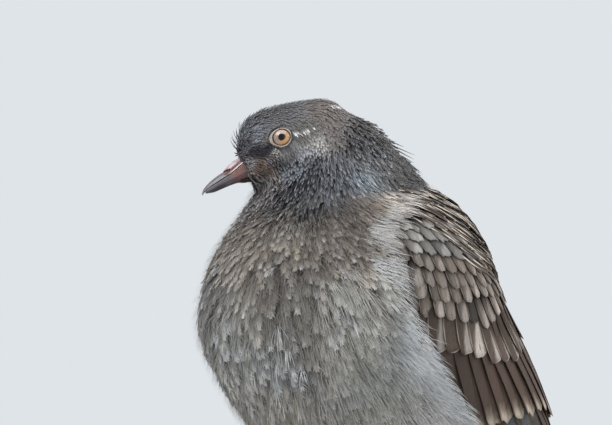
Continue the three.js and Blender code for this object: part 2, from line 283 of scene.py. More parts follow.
# Feather vane: keratin barbs side by side on a shaft, matt and finely streaked. Each vertex carries
# vane = (-1..1 across, 0..1 along, a number for each feather) and span = (length, half width) in mm.
def featherMaterial(name, plan):
    material, add = startMaterial(name)
    tint = add("Attribute", {"attribute_name": "tint"}, out="Color")
    vane, span = [add("Attribute", {"attribute_name": key}, out="Vector") for key in ("vane", "span")]
    vane, span = [add("SeparateXYZ", None, {0: numbers}, slice(0, 3)) for numbers in (vane, span)]
    side = add("Math", {"operation": "ABSOLUTE"}, {0: vane[0]})
    out = add("Math", times, {0: side, 1: span[1]})  # mm out from the shaft
    along = add("Math", times, {0: vane[1], 1: span[0]})  # mm from the root
    swept = add("Math", times, {0: out, 1: plan["sweep"]})
    barb = add("Math", {"operation": "SUBTRACT"}, {0: along, 1: swept})
    spread = add("CombineXYZ", None, {0: barb, 1: add("Math", times, {0: out, 1: 0.12}),
                                      2: add("Math", times, {0: vane[2], 1: 50.0})})
    streak = add("TexNoise", None, {"Vector": spread, "Scale": 1 / plan["barb"], "Detail": 2.0, "Roughness": 0.7})
    shade = add("ValToRGB", {"stops": [(0.28, plan["dark"]), (0.5, 1.0), (0.75, plan["light"])]}, {"Fac": streak})
    colour = add("Mix", tinted, {0: 1.0, 6: tint, 7: shade}, 2)
    stops = [(0.0, 1.0), (plan["shaft"], 1.0), (plan["shaft"] * 1.6, 0.0)]
    shaft = add("Math", times, {0: add("ValToRGB", {"stops": stops}, {"Fac": out}), 1: plan["shaftDark"]})
    colour = add("Mix", tinted, {0: shaft, 6: colour, 7: 0.35}, 2)
    if "fringe" in plan:
        edging, edged = add("Attribute", {"attribute_name": "fringe"}, out=slice(0, 4))[::3]  # its colour and alpha
        inward = add("Math", {"operation": "DIVIDE"}, {0: span[2], 1: plan["fringe"] * 2})
        fringe = add("ValToRGB", {"stops": [(0.15, 1.0), (0.5, 0.0)]}, {"Fac": inward})
        share = add("Math", times, {0: fringe, 1: edged})
        colour = add("Mix", {"data_type": "RGBA"}, {0: share, 6: colour, 7: edging}, 2)
    bump = add("Bump", None, {"Strength": plan["relief"], "Distance": 0.0002, "Height": streak})
    shader = add("BsdfPrincipled", None, {
        "Base Color": colour, "Normal": bump, "Roughness": plan["rough"], "IOR": 1.5,
        "Specular IOR Level": plan["gloss"], "Sheen Weight": plan["sheen"], "Sheen Roughness": 0.5})
    add("OutputMaterial", None, {"Surface": shader})
    return material


# Bare parts: a tint on each vertex, mottled and grained by one noise, whose relief breaks up the light.
def bareMaterial(name, plan):
    material, add = startMaterial(name)
    tint = add("Attribute", {"attribute_name": "tint"}, out="Color")
    grain = add("TexNoise", None, {"Vector": add("TexCoord", out="Object"), **plan["grain"]})
    shade = add("ValToRGB", {"stops": list(zip((0.3, 0.7), plan["shade"]))}, {"Fac": grain})
    feeds = {"Base Color": add("Mix", tinted, {0: 1.0, 6: tint, 7: shade}, 2), **plan["shine"]}
    if "relief" in plan:
        feeds["Normal"] = add("Bump", None, {"Height": grain, **plan["relief"]})
    add("OutputMaterial", None, {"Surface": add("BsdfPrincipled", None, feeds)})
    return material


# Down-covered skin: dull and dark, seen only between the feathers.
downSkin = {"grain": {"Scale": 1400, "Detail": 4}, "shade": (0.3, 0.65),
            "relief": {"Strength": 0.6, "Distance": 0.0003}, "shine": {"Roughness": 0.9, "Specular IOR Level": 0.2}}

# The bird's own measures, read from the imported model.
eyeLeft, eyeRight = middleOf("eye_left"), middleOf("eye_right")
headMiddle = (eyeLeft + eyeRight) / 2
billVerts = vertsOf(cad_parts["bill_upper"].data)
billTip = billVerts[np.argmax(np.linalg.norm(billVerts - headMiddle, axis=1))]
billDroop = math.radians(12.1)  # the tip lies this far below straight ahead of the eyes
headSide = unit(eyeLeft - eyeRight)
toTip = unit(billTip - headMiddle - headSide * ((billTip - headMiddle) @ headSide))
headAhead = math.cos(billDroop) * toTip + math.sin(billDroop) * np.cross(toTip, headSide)
headUp = np.cross(headAhead, headSide)
headAxes = np.stack([headAhead, headSide, headUp])


def inHead(points):  # ahead, to the left and up from the middle of the eyes, in mm
    return (points - headMiddle) @ headAxes.T / mm


def fromHead(points):  # the same measures back to the frame
    return headMiddle + np.asarray(points) @ headAxes * mm


# The middle line of the body, from the tips of the folded wings up to the nape: shares of the whole
# bird's length, from the breast back, and of its height.
bodyLine = [
    (0.876, 0.122), (0.791, 0.184), (0.699, 0.254), (0.610, 0.323), (0.526, 0.389), (0.454, 0.465),
    (0.378, 0.549), (0.307, 0.637), (0.264, 0.717), (0.248, 0.788), (0.235, 0.850), (0.222, 0.903),
    (0.214, 0.951),
]
corners = np.array([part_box(node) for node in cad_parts])
wholeLow, wholeHigh = corners[:, 0].min(0), corners[:, 1].max(0)
wholeSize = wholeHigh - wholeLow
linePoints = np.array([(0, wholeLow[1] + back * wholeSize[1], wholeLow[2] + up * wholeSize[2])
                       for back, up in bodyLine])


def onLine(place):  # a point of the middle line; place counts its points from the wing tips
    place = np.asarray(place, float)
    last = len(linePoints) - 1
    row = np.clip(np.floor(place).astype(int), 0, last - 1)
    u = (place - row)[..., None]
    a, b, c, d = [linePoints[np.clip(row + k, 0, last)] for k in (-1, 0, 1, 2)]
    return b + 0.5 * ((c - a) * u + (2 * a - 5 * b + 4 * c - d) * u * u + (3 * (b - c) + d - a) * u ** 3)


lineTop, lineCount = len(bodyLine) - 1.0, 480
lineSteps = np.linspace(0, lineTop, lineCount + 1)
lineSamples = onLine(lineSteps)
lineRise = unit(np.gradient(lineSamples, axis=0))  # the way up the line
lineOut = np.cross(lineRise, np.array([1.0, 0, 0]))  # towards the bird's back


def bodyPlace(points):  # place on the middle line, and degrees round it: 0 at the flank, 90 on the back
    gap = points[:, None, 1:] - lineSamples[None, :, 1:]
    near = np.argmin((gap ** 2).sum(2), axis=1)
    away = points - lineSamples[near]
    angle = np.degrees(np.arctan2((away * lineOut[near]).sum(1), np.abs(away[:, 0])))
    return lineSteps[near], angle


def frameAt(place):  # the middle line's point, the way up it and the way to the back
    near = np.clip(np.round(np.asarray(place) / lineTop * lineCount).astype(int), 0, lineCount)
    return onLine(place), lineRise[near], lineOut[near]


def rayDirection(place, angle, side):
    centre, _, out = frameAt(place)
    turn = np.radians(angle)[..., None]
    return centre, np.cos(turn) * np.array([side, 0, 0]) + np.sin(turn) * out


print("measures read from the frame")

skinPlan = {"voxel": 1.5 * mm, "smooth": 10, "overlap": 0.4 * mm}
fleshNodes = ["trunk", "neck", "head", "thigh_left", "thigh_right", "wing_left", "wing_right"]
faceFill = {"ahead": 11.5, "up": -5.0, "long": 5.4, "wide": 4.8, "high": 5.4}  # closes the face round the bill
tailFill = {"share": 0.17, "long": 25, "wide": 14, "high": 7}  # the feathered root of the tail
tailInset = {"root": (6, 7), "tip": (0.3, 0.6)}  # mm from the ends of the tail's box to its middle, along and up


def tailMiddle(share):  # a point of the closed tail's middle, and the way down it
    low, high = boxOf("tail")
    (rootAlong, rootUp), (tipAlong, tipUp) = tailInset["root"], tailInset["tip"]
    root = np.array([0, low[1] + rootAlong * mm, high[2] - rootUp * mm])
    tip = np.array([0, high[1] - tipAlong * mm, low[2] + tipUp * mm])
    return mixed(root, tip, share), unit(tip - root)


def ballMesh(plan, middle, axes):  # a ball stretched along three axes
    fill = bmesh.new()
    bmesh.ops.create_icosphere(fill, subdivisions=3, radius=1)
    for v in fill.verts:
        reach = np.array(v.co) * (plan["long"], plan["wide"], plan["high"]) * mm
        v.co = Vector(middle + reach @ axes)
    bmesh.ops.recalc_face_normals(fill, faces=fill.faces)
    mesh = bpy.data.meshes.new("fill")
    fill.to_mesh(mesh)
    fill.free()
    return mesh


def makeBulk():  # everything that wears feathers, as one closed surface at the coat's outside
    parts = [weldedCopy(n, skinPlan["overlap"]) for n in fleshNodes + ["eye_left", "eye_right"]]
    middle, down = tailMiddle(tailFill["share"])
    tailAxes = np.array([down, (1, 0, 0), np.cross(down, (1, 0, 0))])
    parts.append(ballMesh(faceFill, fromHead([faceFill["ahead"], 0, faceFill["up"]]), headAxes))
    parts.append(ballMesh(tailFill, middle, tailAxes))
    return remeshed(joined(parts), skinPlan["voxel"], skinPlan["smooth"])


bulk = makeBulk()
bulkVerts, bulkNormals = vertsOf(bulk), normalsOf(bulk)
bulkTree, _ = treeOf(bulk)
print("bulk", len(bulkVerts))


def onSkin(place, angle, side):  # a point of the coat's outside at a place on the body
    centre, way = rayDirection(np.float64(place), np.float64(angle), side)
    hit = bulkTree.ray_cast(Vector(centre + way * 0.2), Vector(-way))
    return np.array(hit[0])


# The eye, in mm: where it looks out, ahead and up of the head's own middle, the ball, the bare ring, how far
# ahead of the eye the ring lies and how much longer than high it is, how much longer than high the pupil and
# the iris are, and the pitch of the ring's warts and how many stand round it.
eyePlan = {"at": (0.6, -1.15), "ball": 5.5, "ring": 4.5, "ahead": 0.4, "oval": 1.2, "stretch": 0.08,
           "papilla": 0.36, "papillae": 62}
ringMiddle = np.array([eyePlan["at"][0] + eyePlan["ahead"], eyePlan["at"][1]])


# Tracts of the plumage: what the middle is counted from, the middle, the reach, then how deep the coat is
# there, the feathers' length, half width and spacing, all in mm, the colours of a feather's base and of its
# tip, and how far ruffled feathers stand or how many degrees they turn from the body's line towards the back.
# A middle is (ahead, side, up) from the eye on the head, where a tract may have more than one, (place, angle)
# on the body, and a share of the tail or of the thigh's height.
# The near-black bases on the face, throat and neck are partly the feathers' own dark roots and partly painted shade
# in the gaps between them.
tracts = {
    # painted shadow: a dark band under the forehead feathers' edge, from the eye's front down to the cere
    "loreShadow": ("head", [(12, 9, -0.4), (9.3, 10.4, -0.3)], 2.0, (0.5, 1.6, 0.4, 0.5), "#0d0b11", "#3a363e"),
    "eyeFrontShadow": ("head", [(6.6, 11.3, -0.6)], 1.7, (0.5, 1.4, 0.38, 0.48), "#0c0b11", "#3c3942"),
    "lores": ("head", [(11.6, 8.8, -5.2), (9.8, 8.7, -7.4)], 2.4, (0.4, 1.5, 0.34, 0.52), "#3d3130", "#87766d"),
    "loreTop": ("head", [(13.2, 8, -2.9)], 1.8, (0.4, 1.5, 0.34, 0.5), "#444044", "#a6a2a2"),
    "gapeSide": ("head", [(7, 10.8, -5.3)], 2.0, (0.5, 1.7, 0.38, 0.5), "#100b0f", "#857f80"),
    "wartSide": ("head", [(4.4, 12, -3.2)], 1.3, (0.4, 1.3, 0.34, 0.48), "#19191a", "#a9a8a4"),
    "eyeUnder": ("head", [(0.7, 12, -5.6)], 2.4, (0.8, 2.4, 0.45, 0.52), "#545355", "#8b8a8d"),
    "cheekFold": ("head", [(3.1, 11.2, -6.9)], 1.4, (0.6, 2.2, 0.42, 0.52), "#1c1b20", "#5c5b5e"),
    "frontlet": ("head", [(13, 6, 3.6)], 3, (0.9, 2.6, 0.45, 0.52), "#3a393f", "#6b6b73"),
    "forehead": ("head", [(9, 8.8, 6.4), (12, 3, 7.5)], 4, (1.2, 3.0, 0.45, 0.58), "#66676e", "#9a9fa8"),
    "crown": ("head", [(-1, 8, 10), (-3, 0, 13)], 8, (1.0, 3.4, 0.5, 0.6), "#5b5b5e", "#7c7c7f"),
    "crownFront": ("head", [(3, 4, 11.6), (5, 0, 11.5)], 6, (1.0, 3.6, 0.5, 0.6),
     "#5b5b5e", "#7c7c7f", {"stand": 2.0}),
    # painted shade: darker feathers just over the eye
    "eyeOver": ("head", [(-0.5, 11.7, 4.7)], 1.6, (0.7, 2.0, 0.42, 0.5), "#222021", "#5a5858"),
    "eyeFront": ("head", [(7, 10.9, 2.6)], 2.2, (0.7, 1.9, 0.42, 0.5), "#464546", "#7d7b7a"),
    "hindhead": ("head", [(-18, 8, 4.5), (-20, 0, 6)], 8, (1.3, 5.2, 0.7, 0.78),
     "#5c5655", "#7f7976", {"stand": 1.0}),
    "temple": ("head", [(-9, 11.7, 2.5)], 5, (0.9, 3.2, 0.5, 0.6), "#5a5958", "#757474"),
    "ear": ("head", [(-10.6, 11.8, -3.9)], 3.6, (1.1, 4.2, 0.6, 0.7), "#686767", "#b2b1b0"),
    "earLow": ("head", [(-4.8, 12.1, -5.6), (-8.5, 11.6, -6.2)], 2.1, (1.0, 4.0, 0.55, 0.64), "#62636a", "#adadb1"),
    "earBack": ("head", [(-17, 10.9, -3)], 4, (1.3, 5.0, 0.7, 0.78), "#53504e", "#736f6c"),
    "cheek": ("head", [(2.5, 9.6, -9.7), (-2.9, 10.1, -9.6)], 3.3, (1.2, 4.8, 0.62, 0.76), "#0b0d12", "#848a94"),
    "cheekBack": ("head", [(-7.4, 11.4, -9.8)], 3.4, (1.2, 4.8, 0.62, 0.76), "#0b0c11", "#5c5e66"),
    "jaw": ("head", [(0, 11.8, -15.8), (-5.1, 14, -16.2), (6.4, 11.9, -18.4)], 4.4, (1.9, 8.5, 0.95, 1.2),
     "#101116", "#8a8e96"),
    "chin": ("head", [(11.4, 7.2, -8.9)], 2, (0.6, 2.4, 0.45, 0.54), "#221f25", "#75685f"),
    # painted shadow under the chin, below the bill's root
    "chinShadow": ("head", [(13.4, 4, -10)], 2.2, (0.6, 2.4, 0.45, 0.54), "#0b0a12", "#2c2632"),
    "throat": ("head", [(8.5, 4, -12.5), (16, 2, -16)], 5, (1.7, 7.0, 1.0, 1.2), "#17141b", "#a8a4a3"),
    "ruff": ("head", [(-14.9, 15.1, -16.1), (-9.4, 16.3, -19.7)], 5.5, (2.0, 8.5, 1.1, 1.3), "#3a3c43", "#8d9096"),
    "neckSide": ("head", [(-19.6, 16.4, -22.3)], 6, (2.2, 9, 1.25, 1.32), "#525a60", "#a6aeb4"),
    "napeTop": ("head", [(-26, 4, -2)], 8, (2.0, 8, 1.1, 1.1), "#403f40", "#747375", {"stand": 1.7}),
    "neckBack": ("head", [(-24, 12.4, -13)], 6, (2.2, 8.5, 1.2, 1.12), "#424246", "#939497"),
    "nape": ("body", (11.3, 60), 13, (2.2, 9, 1.1, 1.1), "#403f40", "#747375", {"stand": 1.0}),
    "napeFoot": ("head", [(-29, 12.3, -28)], 6, (2.3, 9, 1.3, 1.2), "#3d3d3f", "#838385"),
    "neckFront": ("head", [(-3.8, 19.4, -24.4), (-13.1, 20.4, -27.9)], 6, (2.4, 9, 1.5, 1.45),
     "#504e4f", "#84858a"),
    # painted shade: a dark band on the side of the neck, below the jaw
    "throatSideShade": ("head", [(1.8, 22.3, -27.4)], 5.2, (2.4, 9.5, 1.6, 1.4), "#161617", "#4e4e50"),
    "throatFoot": ("head", [(11.4, 17.8, -24.2), (20, -1.5, -18)], 6, (2.4, 9, 1.5, 1.48), "#3d3635", "#a9a6a3"),
    "crop": ("body", (9.4, -98), 13, (2.8, 12, 2.4, 1.85), "#6b645f", "#969189"),
    "cropSide": ("body", (9.2, -52), 12, (2.8, 12, 2.3, 1.8), "#544c46", "#7b746c"),
    "neckBase": ("body", (9.85, -37), 8, (2.6, 10, 1.8, 1.5), "#48403a", "#736b64"),
    "breastFront": ("body", (8.2, -108), 15, (3.2, 14, 3.3, 2.5), "#595551", "#706d69"),
    "breast": ("body", (7.9, -80), 17, (3.5, 15, 3.5, 2.6), "#5f5f5c", "#999998"),
    "breastDark": ("body", (8.7, -75), 9, (3.2, 14, 3.3, 2.5), "#535252", "#706e6d"),
    "breastSide": ("body", (8.1, -50), 15, (3.4, 14, 3.0, 2.4), "#535350", "#959592"),
    "lowBreast": ("body", (7.3, -90), 18, (3.6, 15, 3.0, 2.4), "#6a6763", "#8e8a84"),
    "breastShade": ("body", (7.6, -75), 7, (3.5, 15, 3.5, 2.6), "#4c4c49", "#797976"),
    "breastEdge": ("body", (7.7, -86), 6, (3.5, 15, 3.5, 2.6), "#515150", "#7f7e7d"),
    "breastPale": ("body", (8.25, -82), 6, (3.5, 15, 3.5, 2.6), "#7b7b77", "#b0b0ac"),
    "shoulderPale": ("body", (8.65, -48), 5.5, (3.0, 11, 2.0, 1.7), "#6f6963", "#b3aca4"),
    "sidePale": ("body", (8.4, -56), 5.5, (3.3, 13, 2.8, 2.2), "#61605c", "#a9a8a4"),
    "flankShade": ("body", (8.2, -41), 5, (3.3, 12, 2.2, 1.8), "#5a5956", "#8a8985", {"turn": 26}),
    "belly": ("body", (6.7, -68), 17, (3.6, 15, 2.8, 2.3), "#61605d", "#979692"),
    "wingBend": ("body", (9.78, -20), 6.2, (3.0, 9, 1.5, 1.4), "#a8a29f", "#e6e3e2", {"turn": 34}),
    "shoulder": ("body", (9.2, -30), 10, (3.0, 10, 1.8, 1.6), "#736c66", "#aaa6a1", {"turn": 28}),
    "flankTop": ("body", (8.3, -33), 10, (3.2, 11, 2.0, 1.7), "#727170", "#b0b0ae", {"turn": 34}),
    "side": ("body", (7.3, -46), 14, (3.4, 13, 2.2, 1.9), "#61625f", "#929493", {"turn": 12}),
    "flank": ("body", (7.3, -33), 12, (3.6, 13, 2.2, 1.8), "#898b8e", "#c9ccd0", {"turn": 26}),
    "flankEdge": ("body", (6.5, -33), 12, (3.6, 14, 2.2, 1.8), "#717276", "#a4a6aa", {"turn": 16}),
    "lowFlank": ("body", (5.3, -46), 18, (3.8, 16, 2.6, 2.1), "#727376", "#9b9c9f", {"turn": 10}),
    "vent": ("body", (4.6, -85), 26, (3.6, 17, 3.2, 2.5), "#706f6d", "#9a9895"),
    "mantle": ("body", (9.5, 88), 16, (3.0, 13, 3.6, 2.5), "#403a35", "#635b54"),
    "back": ("body", (7, 90), 24, (3.4, 16, 4.4, 3), "#443f3a", "#68615a"),
    "rump": ("body", (4.4, 88), 24, (3.4, 17, 4.4, 3), "#5c5956", "#807c77"),
    "tailRoot": ("tail", 0.12, 16, (2.4, 16, 4.0, 2.8), "#54514e", "#74706b"),
    "thigh": ("leg", 0.6, 15, (2.4, 9, 2.2, 1.8), "#74726f", "#9a9793"),
    "ankle": ("leg", 0.05, 9, (1.0, 4.5, 1.0, 0.95), "#6a6764", "#8a8682"),
}


def tractMiddles(kind, middle):
    if kind == "head":
        shift, drop = eyePlan["at"]
        return [fromHead([ahead + shift, side * hand, up + drop]) for ahead, side, up in middle for hand in (1, -1)]
    if kind == "body":
        return [onSkin(*middle, side) for side in (1, -1)]
    if kind == "tail":
        return [tailMiddle(middle)[0]]
    boxes = [boxOf(node) for node in ("thigh_left", "thigh_right")]
    return [np.array([*mixed(low, high, 0.5)[:2], mixed(low[2], high[2], middle)]) for low, high in boxes]


tractRows = [(middle, *plan[2:6], {"name": name, "stand": 1.0, "turn": 0, **dict(*plan[6:])})
             for name, plan in tracts.items() for middle in tractMiddles(*plan[:2])]
tractAt, tractReach, tractCoat = (np.array([row[k] for row in tractRows]) for k in range(3))
tractReach = tractReach * mm
tractBase, tractTip = (np.array([linear(row[k]) for row in tractRows]) for k in (3, 4))
tractStand = np.array([row[5]["stand"] for row in tractRows])
tractTurn = np.array([math.tan(math.radians(row[5]["turn"])) for row in tractRows])


def tractShares(points, crisp=1.5):  # how far each point belongs to each tract
    away = np.linalg.norm(points[:, None] - tractAt[None], axis=2) / tractReach
    near = np.exp(crisp * (away.min(1, keepdims=True) ** 2 - away ** 2))
    return near / near.sum(1, keepdims=True)


# How wide the body is about its middle line and how the coat lies: away from the bill, down the neck
# and along the body to the tail. The head and the thighs have lines of their own.
def makeFlow():  # rows of place, way, width and back
    rows, nowhere = [], np.zeros(3)
    place, _ = bodyPlace(bulkVerts)
    centres = lineSamples[np.searchsorted(lineSteps, place).clip(0, lineCount)]
    girth = np.linalg.norm(bulkVerts - centres, axis=1)
    for step in np.arange(0, lineTop + 0.01, 0.25):
        near = np.abs(place - step) < 0.3
        centre, rise, out = frameAt(step)
        rows.append((centre, -rise, np.median(girth[near]) if near.sum() > 20 else 0.02, out))
    for ahead in np.arange(-14, 15, 2.0):
        rows.append((fromHead([ahead, 0, -2]), -headAhead * 0.9 - headUp * 0.12, 0.0125, nowhere))
    for low, high in (boxOf("thigh_left"), boxOf("thigh_right")):
        for share in np.linspace(0, 0.75, 7):
            back = low[1] + mixed(0.02, 0.014, share)
            at = np.array([(low[0] + high[0]) / 2, back, mixed(low[2], high[2], share)])
            rows.append((at, np.array([0, 0.25, -1.0]), mixed(0.005, 0.013, share), nowhere))
    rows += [(*tailMiddle(share), 0.012, nowhere) for share in (0.05, 0.2, 0.35)]
    return [np.array(column) for column in zip(*rows)]


flowAt, flowWay, flowWide, flowBack = makeFlow()
flowBlend = 0.36  # how softly the lie changes from one place of the lines to the next


def lieAt(points, normals):  # the way a feather lies at each point, along the surface
    away = np.linalg.norm(points[:, None] - flowAt[None], axis=2) / flowWide
    pull = (away ** 2 - 1) / flowBlend
    share = np.exp(pull.min(1, keepdims=True) - pull)
    way = (share / share.sum(1, keepdims=True)) @ flowWay
    near = np.argmin(away, axis=1)
    way = way + flowBack[near] * (tractShares(points) @ tractTurn)[:, None]
    way -= normals * (way * normals).sum(1, keepdims=True)
    return unit(way)


def makeSkin():  # the skin lies inside the coat by its depth
    depth = tractShares(bulkVerts) @ tractCoat[:, 0] * mm
    mesh = bulk.copy()
    setVerts(mesh, bulkVerts - bulkNormals * depth[:, None])
    return mesh


skin = makeSkin()
skinVerts, skinNormals = vertsOf(skin), normalsOf(skin)
skinTree, skinTris = treeOf(skin)
print("skin", len(skinVerts))


# The folded wings' outer face, a smooth sheet over place and angle.
placeStep, angleStep = 0.25, 3.0
wingPlaces, wingAngles = np.arange(-0.25, 10.6, placeStep), np.arange(-48, 97, angleStep)


def makeWingSheet():
    nodes = ["wing_left", "primaries_left", "trunk", "neck"]
    tree, _ = treeOf(joined([weldedCopy(n) for n in nodes]))
    reach = np.full((len(wingPlaces), len(wingAngles)), np.nan)
    for i, place in enumerate(wingPlaces):
        for j, angle in enumerate(wingAngles):
            centre, way = rayDirection(np.float64(place), np.float64(angle), 1)
            hit = tree.ray_cast(Vector(centre + way * 0.15), Vector(-way), 0.15)
            if hit[0] is not None:
                reach[i, j] = np.linalg.norm(np.array(hit[0]) - centre)
    for j in range(reach.shape[1]):  # past the tip the last reach goes on
        known = ~np.isnan(reach[:, j])
        reach[:, j] = np.interp(wingPlaces, wingPlaces[known], reach[known, j])
    for _ in range(2):
        wide = np.pad(reach, 1, mode="edge")
        reach = (wide[:-2, 1:-1] + wide[2:, 1:-1] + wide[1:-1, :-2] + wide[1:-1, 2:] + 2 * reach) / 6
    return reach


wingReach = makeWingSheet()


def onWing(place, angle, side):  # a point of the wing's outer face
    place, angle = np.broadcast_arrays(np.asarray(place, float), np.asarray(angle, float))
    i = np.clip((place - wingPlaces[0]) / placeStep, 0, len(wingPlaces) - 1.001)
    j = np.clip((angle - wingAngles[0]) / angleStep, 0, len(wingAngles) - 1.001)
    i0, j0 = i.astype(int), j.astype(int)
    u, v = i - i0, j - j0
    reach = (wingReach[i0, j0] * (1 - u) * (1 - v) + wingReach[i0 + 1, j0] * u * (1 - v)
             + wingReach[i0, j0 + 1] * (1 - u) * v + wingReach[i0 + 1, j0 + 1] * u * v)
    centre, way = rayDirection(place, angle, side)
    return centre + way * reach[..., None]


def wingNormal(place, angle, side):
    along = onWing(place + 0.1, angle, side) - onWing(place - 0.1, angle, side)
    across = onWing(place, angle + 1.5, side) - onWing(place, angle - 1.5, side)
    return unit(np.cross(across, along)) * side


# The wing's low and high edges in degrees, at each place from the tip to the bend.
wingEdges = {"place": [0, 1, 2, 3, 4, 5, 6, 7, 8, 9, 9.7, 10.1],
             "low": [42, 27, 15, 3, -12, -21, -27, -30, -35, -37, -15, 6],
             "high": [78, 85, 86, 85, 84, 82, 79, 74, 68, 58, 42, 26]}


def edgeAt(place, which):
    return np.interp(place, wingEdges["place"], wingEdges[which])


def wingShare(place, angle):  # 1 well inside the wing, 0 outside it
    inside = np.minimum(angle - edgeAt(place, "low"), edgeAt(place, "high") - angle)
    return smoothStep(-2, 6, inside) * (place < 9.9)


# One vane: barbs leave a shaft on both sides and bend towards its end, whole near the shaft and parted
# at the edge. Gives (along, across, outness, lock) for each vertex and the triangles.
def vaneTemplate(locks, cling, sweep, outline, seed, fray):
    draw = np.random.default_rng(seed)
    verts, faces = [], []
    feet = [0.97 * (1 - (1 - i / locks) ** 1.25) for i in range(locks + 1)]

    def barbPoint(foot, share, side, out):
        end = foot + (1 - foot) * sweep / (sweep + 1 - foot)
        return foot + (end - foot) * share, side * outline(end) * share, out

    for i, foot in enumerate(feet):
        verts.append((foot, 0.0, 0.0, i))
    for side in (-1, 1):
        inner = len(verts)
        verts += [(*barbPoint(foot, cling, side, cling), i) for i, foot in enumerate(feet)]
        tips = len(verts)
        for i in range(locks):
            foot = mixed(feet[i], feet[i + 1], draw.uniform(0.35, 0.75))
            verts.append((*barbPoint(foot, 1 + draw.uniform(-fray, fray), side, 1.0), i))
        for i in range(locks):
            a, b, c, d = i, i + 1, inner + i + 1, inner + i
            loop = [(a, b, c), (a, c, d), (d, c, tips + i)]
            faces += loop if side < 0 else [f[::-1] for f in loop]
    return np.array(verts), np.array(faces)


def softEnd(t):  # a vane that narrows to a soft blunt end
    return max(0.05, min(1.0, 0.4 + 2.0 * t) * math.sqrt(max(0.0, 1 - max(0, (t - 0.45) / 0.56) ** 1.7)))


def pointedEnd(t):
    return max(0.04, min(1.0, 0.4 + 2.2 * t) * (1 - max(0, (t - 0.4) / 0.62) ** 1.5))


# A loose strand: a narrow strip that ends in a point.
def strandTemplate(rings):
    verts = [(ring / rings, side * (1 - 0.5 * ring / rings), 0.0, 0) for ring in range(rings) for side in (-1, 1)]
    verts.append((1.0, 0.0, 0.0, 0))
    faces = []
    for ring in range(rings - 1):
        a = ring * 2
        faces += [(a, a + 3, a + 1), (a, a + 2, a + 3)]
    faces.append((rings * 2 - 2, rings * 2, rings * 2 - 1))
    return np.array(verts), np.array(faces)


steps = 5  # points along a feather's middle line
vaneArch = 0.2  # how far a vane's edges bend down, as a share of its half width


def nearestOnSkin(points):  # places on the skin, and its normals there
    found = [skinTree.find_nearest(Vector(p)) for p in points]
    return np.array([f[0] for f in found]), unit(skinNormals[skinTris[[f[2] for f in found]]].mean(1))


def traceFeathers(roots, normals, long, turn):  # middle lines that follow the skin down the lie of the coat
    lines, outs = [roots], [normals]
    way = lieAt(roots, normals)
    way = unit(way * np.cos(turn)[:, None] + np.cross(normals, way) * np.sin(turn)[:, None])
    for _ in range(steps - 1):
        at, out = nearestOnSkin(lines[-1] + way * (long / (steps - 1))[:, None])
        way = unit(way - out * (way * out).sum(1, keepdims=True))
        way = unit(way * 0.6 + lieAt(at, out) * 0.4 + 1e-9)
        lines.append(at)
        outs.append(out)
    return np.stack(lines, 1), np.stack(outs, 1)


def alongLine(lines, t):  # lines: feathers x steps x 3, read at shares t
    at = np.clip(t * (steps - 1), 0, steps - 1.0001)
    row = at.astype(int)
    u = (at - row)[None, :, None]
    u = u + np.maximum(t - 1, 0)[None, :, None] * (steps - 1)  # past its end the line goes straight on
    return lines[:, row] * (1 - u) + lines[:, row + 1] * u


def vaneAxes(lines, outs, t):  # the middle, and the ways ahead, aside and out, at shares t of each line
    inner = np.minimum(t, 1)
    out = unit(alongLine(outs, inner))
    ahead = unit(alongLine(unit(np.gradient(lines, axis=1)), inner))
    return alongLine(lines, t), ahead, unit(np.cross(ahead, out)), out


def copied(faces, count, corners):  # a template's triangles for many copies of it
    return (faces[None] + (np.arange(count) * corners)[:, None, None]).reshape(-1, 3)


def vanePlaces(s, t, marks):  # each vertex's place across and along its vane, and its feather's own number
    shape = len(marks), len(s)
    return np.stack([np.broadcast_to(a, shape) for a in (s, t, marks[:, None])], 2).reshape(-1, 3)


# Lays one template on many middle lines. Returns points, triangles and each vertex's place on its vane.
def layVanes(template, lines, outs, wide, raised, ruffle):
    shape, faces = template
    count, corners = len(lines), len(shape)
    t, s, o = shape[:, 0], shape[:, 1], shape[:, 2]
    middle, _, side, out = vaneAxes(lines, outs, t)
    locks = rng.normal(0, 1, (count, int(shape[:, 3].max()) + 1))[:, shape[:, 3].astype(int)]
    raised = raised - vaneArch * (s[None] ** 2) * wide[:, None] + locks * ruffle[:, None] * o[None]
    sway = rng.normal(0, 0.05, (count, corners)) * o[None]
    verts = middle + side * ((s[None] + sway) * wide[:, None])[..., None] + out * raised[..., None]
    return verts.reshape(-1, 3), copied(faces, count, corners), vanePlaces(s, t, rng.random(count))


# Where a point lies on the skin's own unwrap: round the body and along it, the head above the neck.
def unwrapped(points):
    place, _ = bodyPlace(points)
    centre = onLine(place)
    _, _, out = frameAt(place)
    away = points - centre
    around = np.arctan2(away[:, 0], (away * out).sum(1)) / (2 * math.pi) + 0.5
    ahead, aside, up = inHead(points).T
    onHead = smoothStep(30, 20, np.linalg.norm(inHead(points), axis=1))
    headRound = np.arctan2(aside, up + 2) / (2 * math.pi) + 0.5
    v = mixed(place / lineTop * 0.8, 0.86 + (ahead + 24) / 40 * 0.12, onHead)
    return np.stack([mixed(around, headRound, onHead), v], 1)


patchSize = 0.003


def bakePatches(roots, vane):
    at = unwrapped(roots)
    low, high = at.min(0), at.max(0)
    at = 0.01 + 0.98 * (at - low) / np.maximum(high - low, 1e-6)
    corners = len(vane) // len(roots)
    return np.repeat(at, corners, axis=0) + (vane[:, :2] * (0.5, 1) - (0, 0.5)) * patchSize


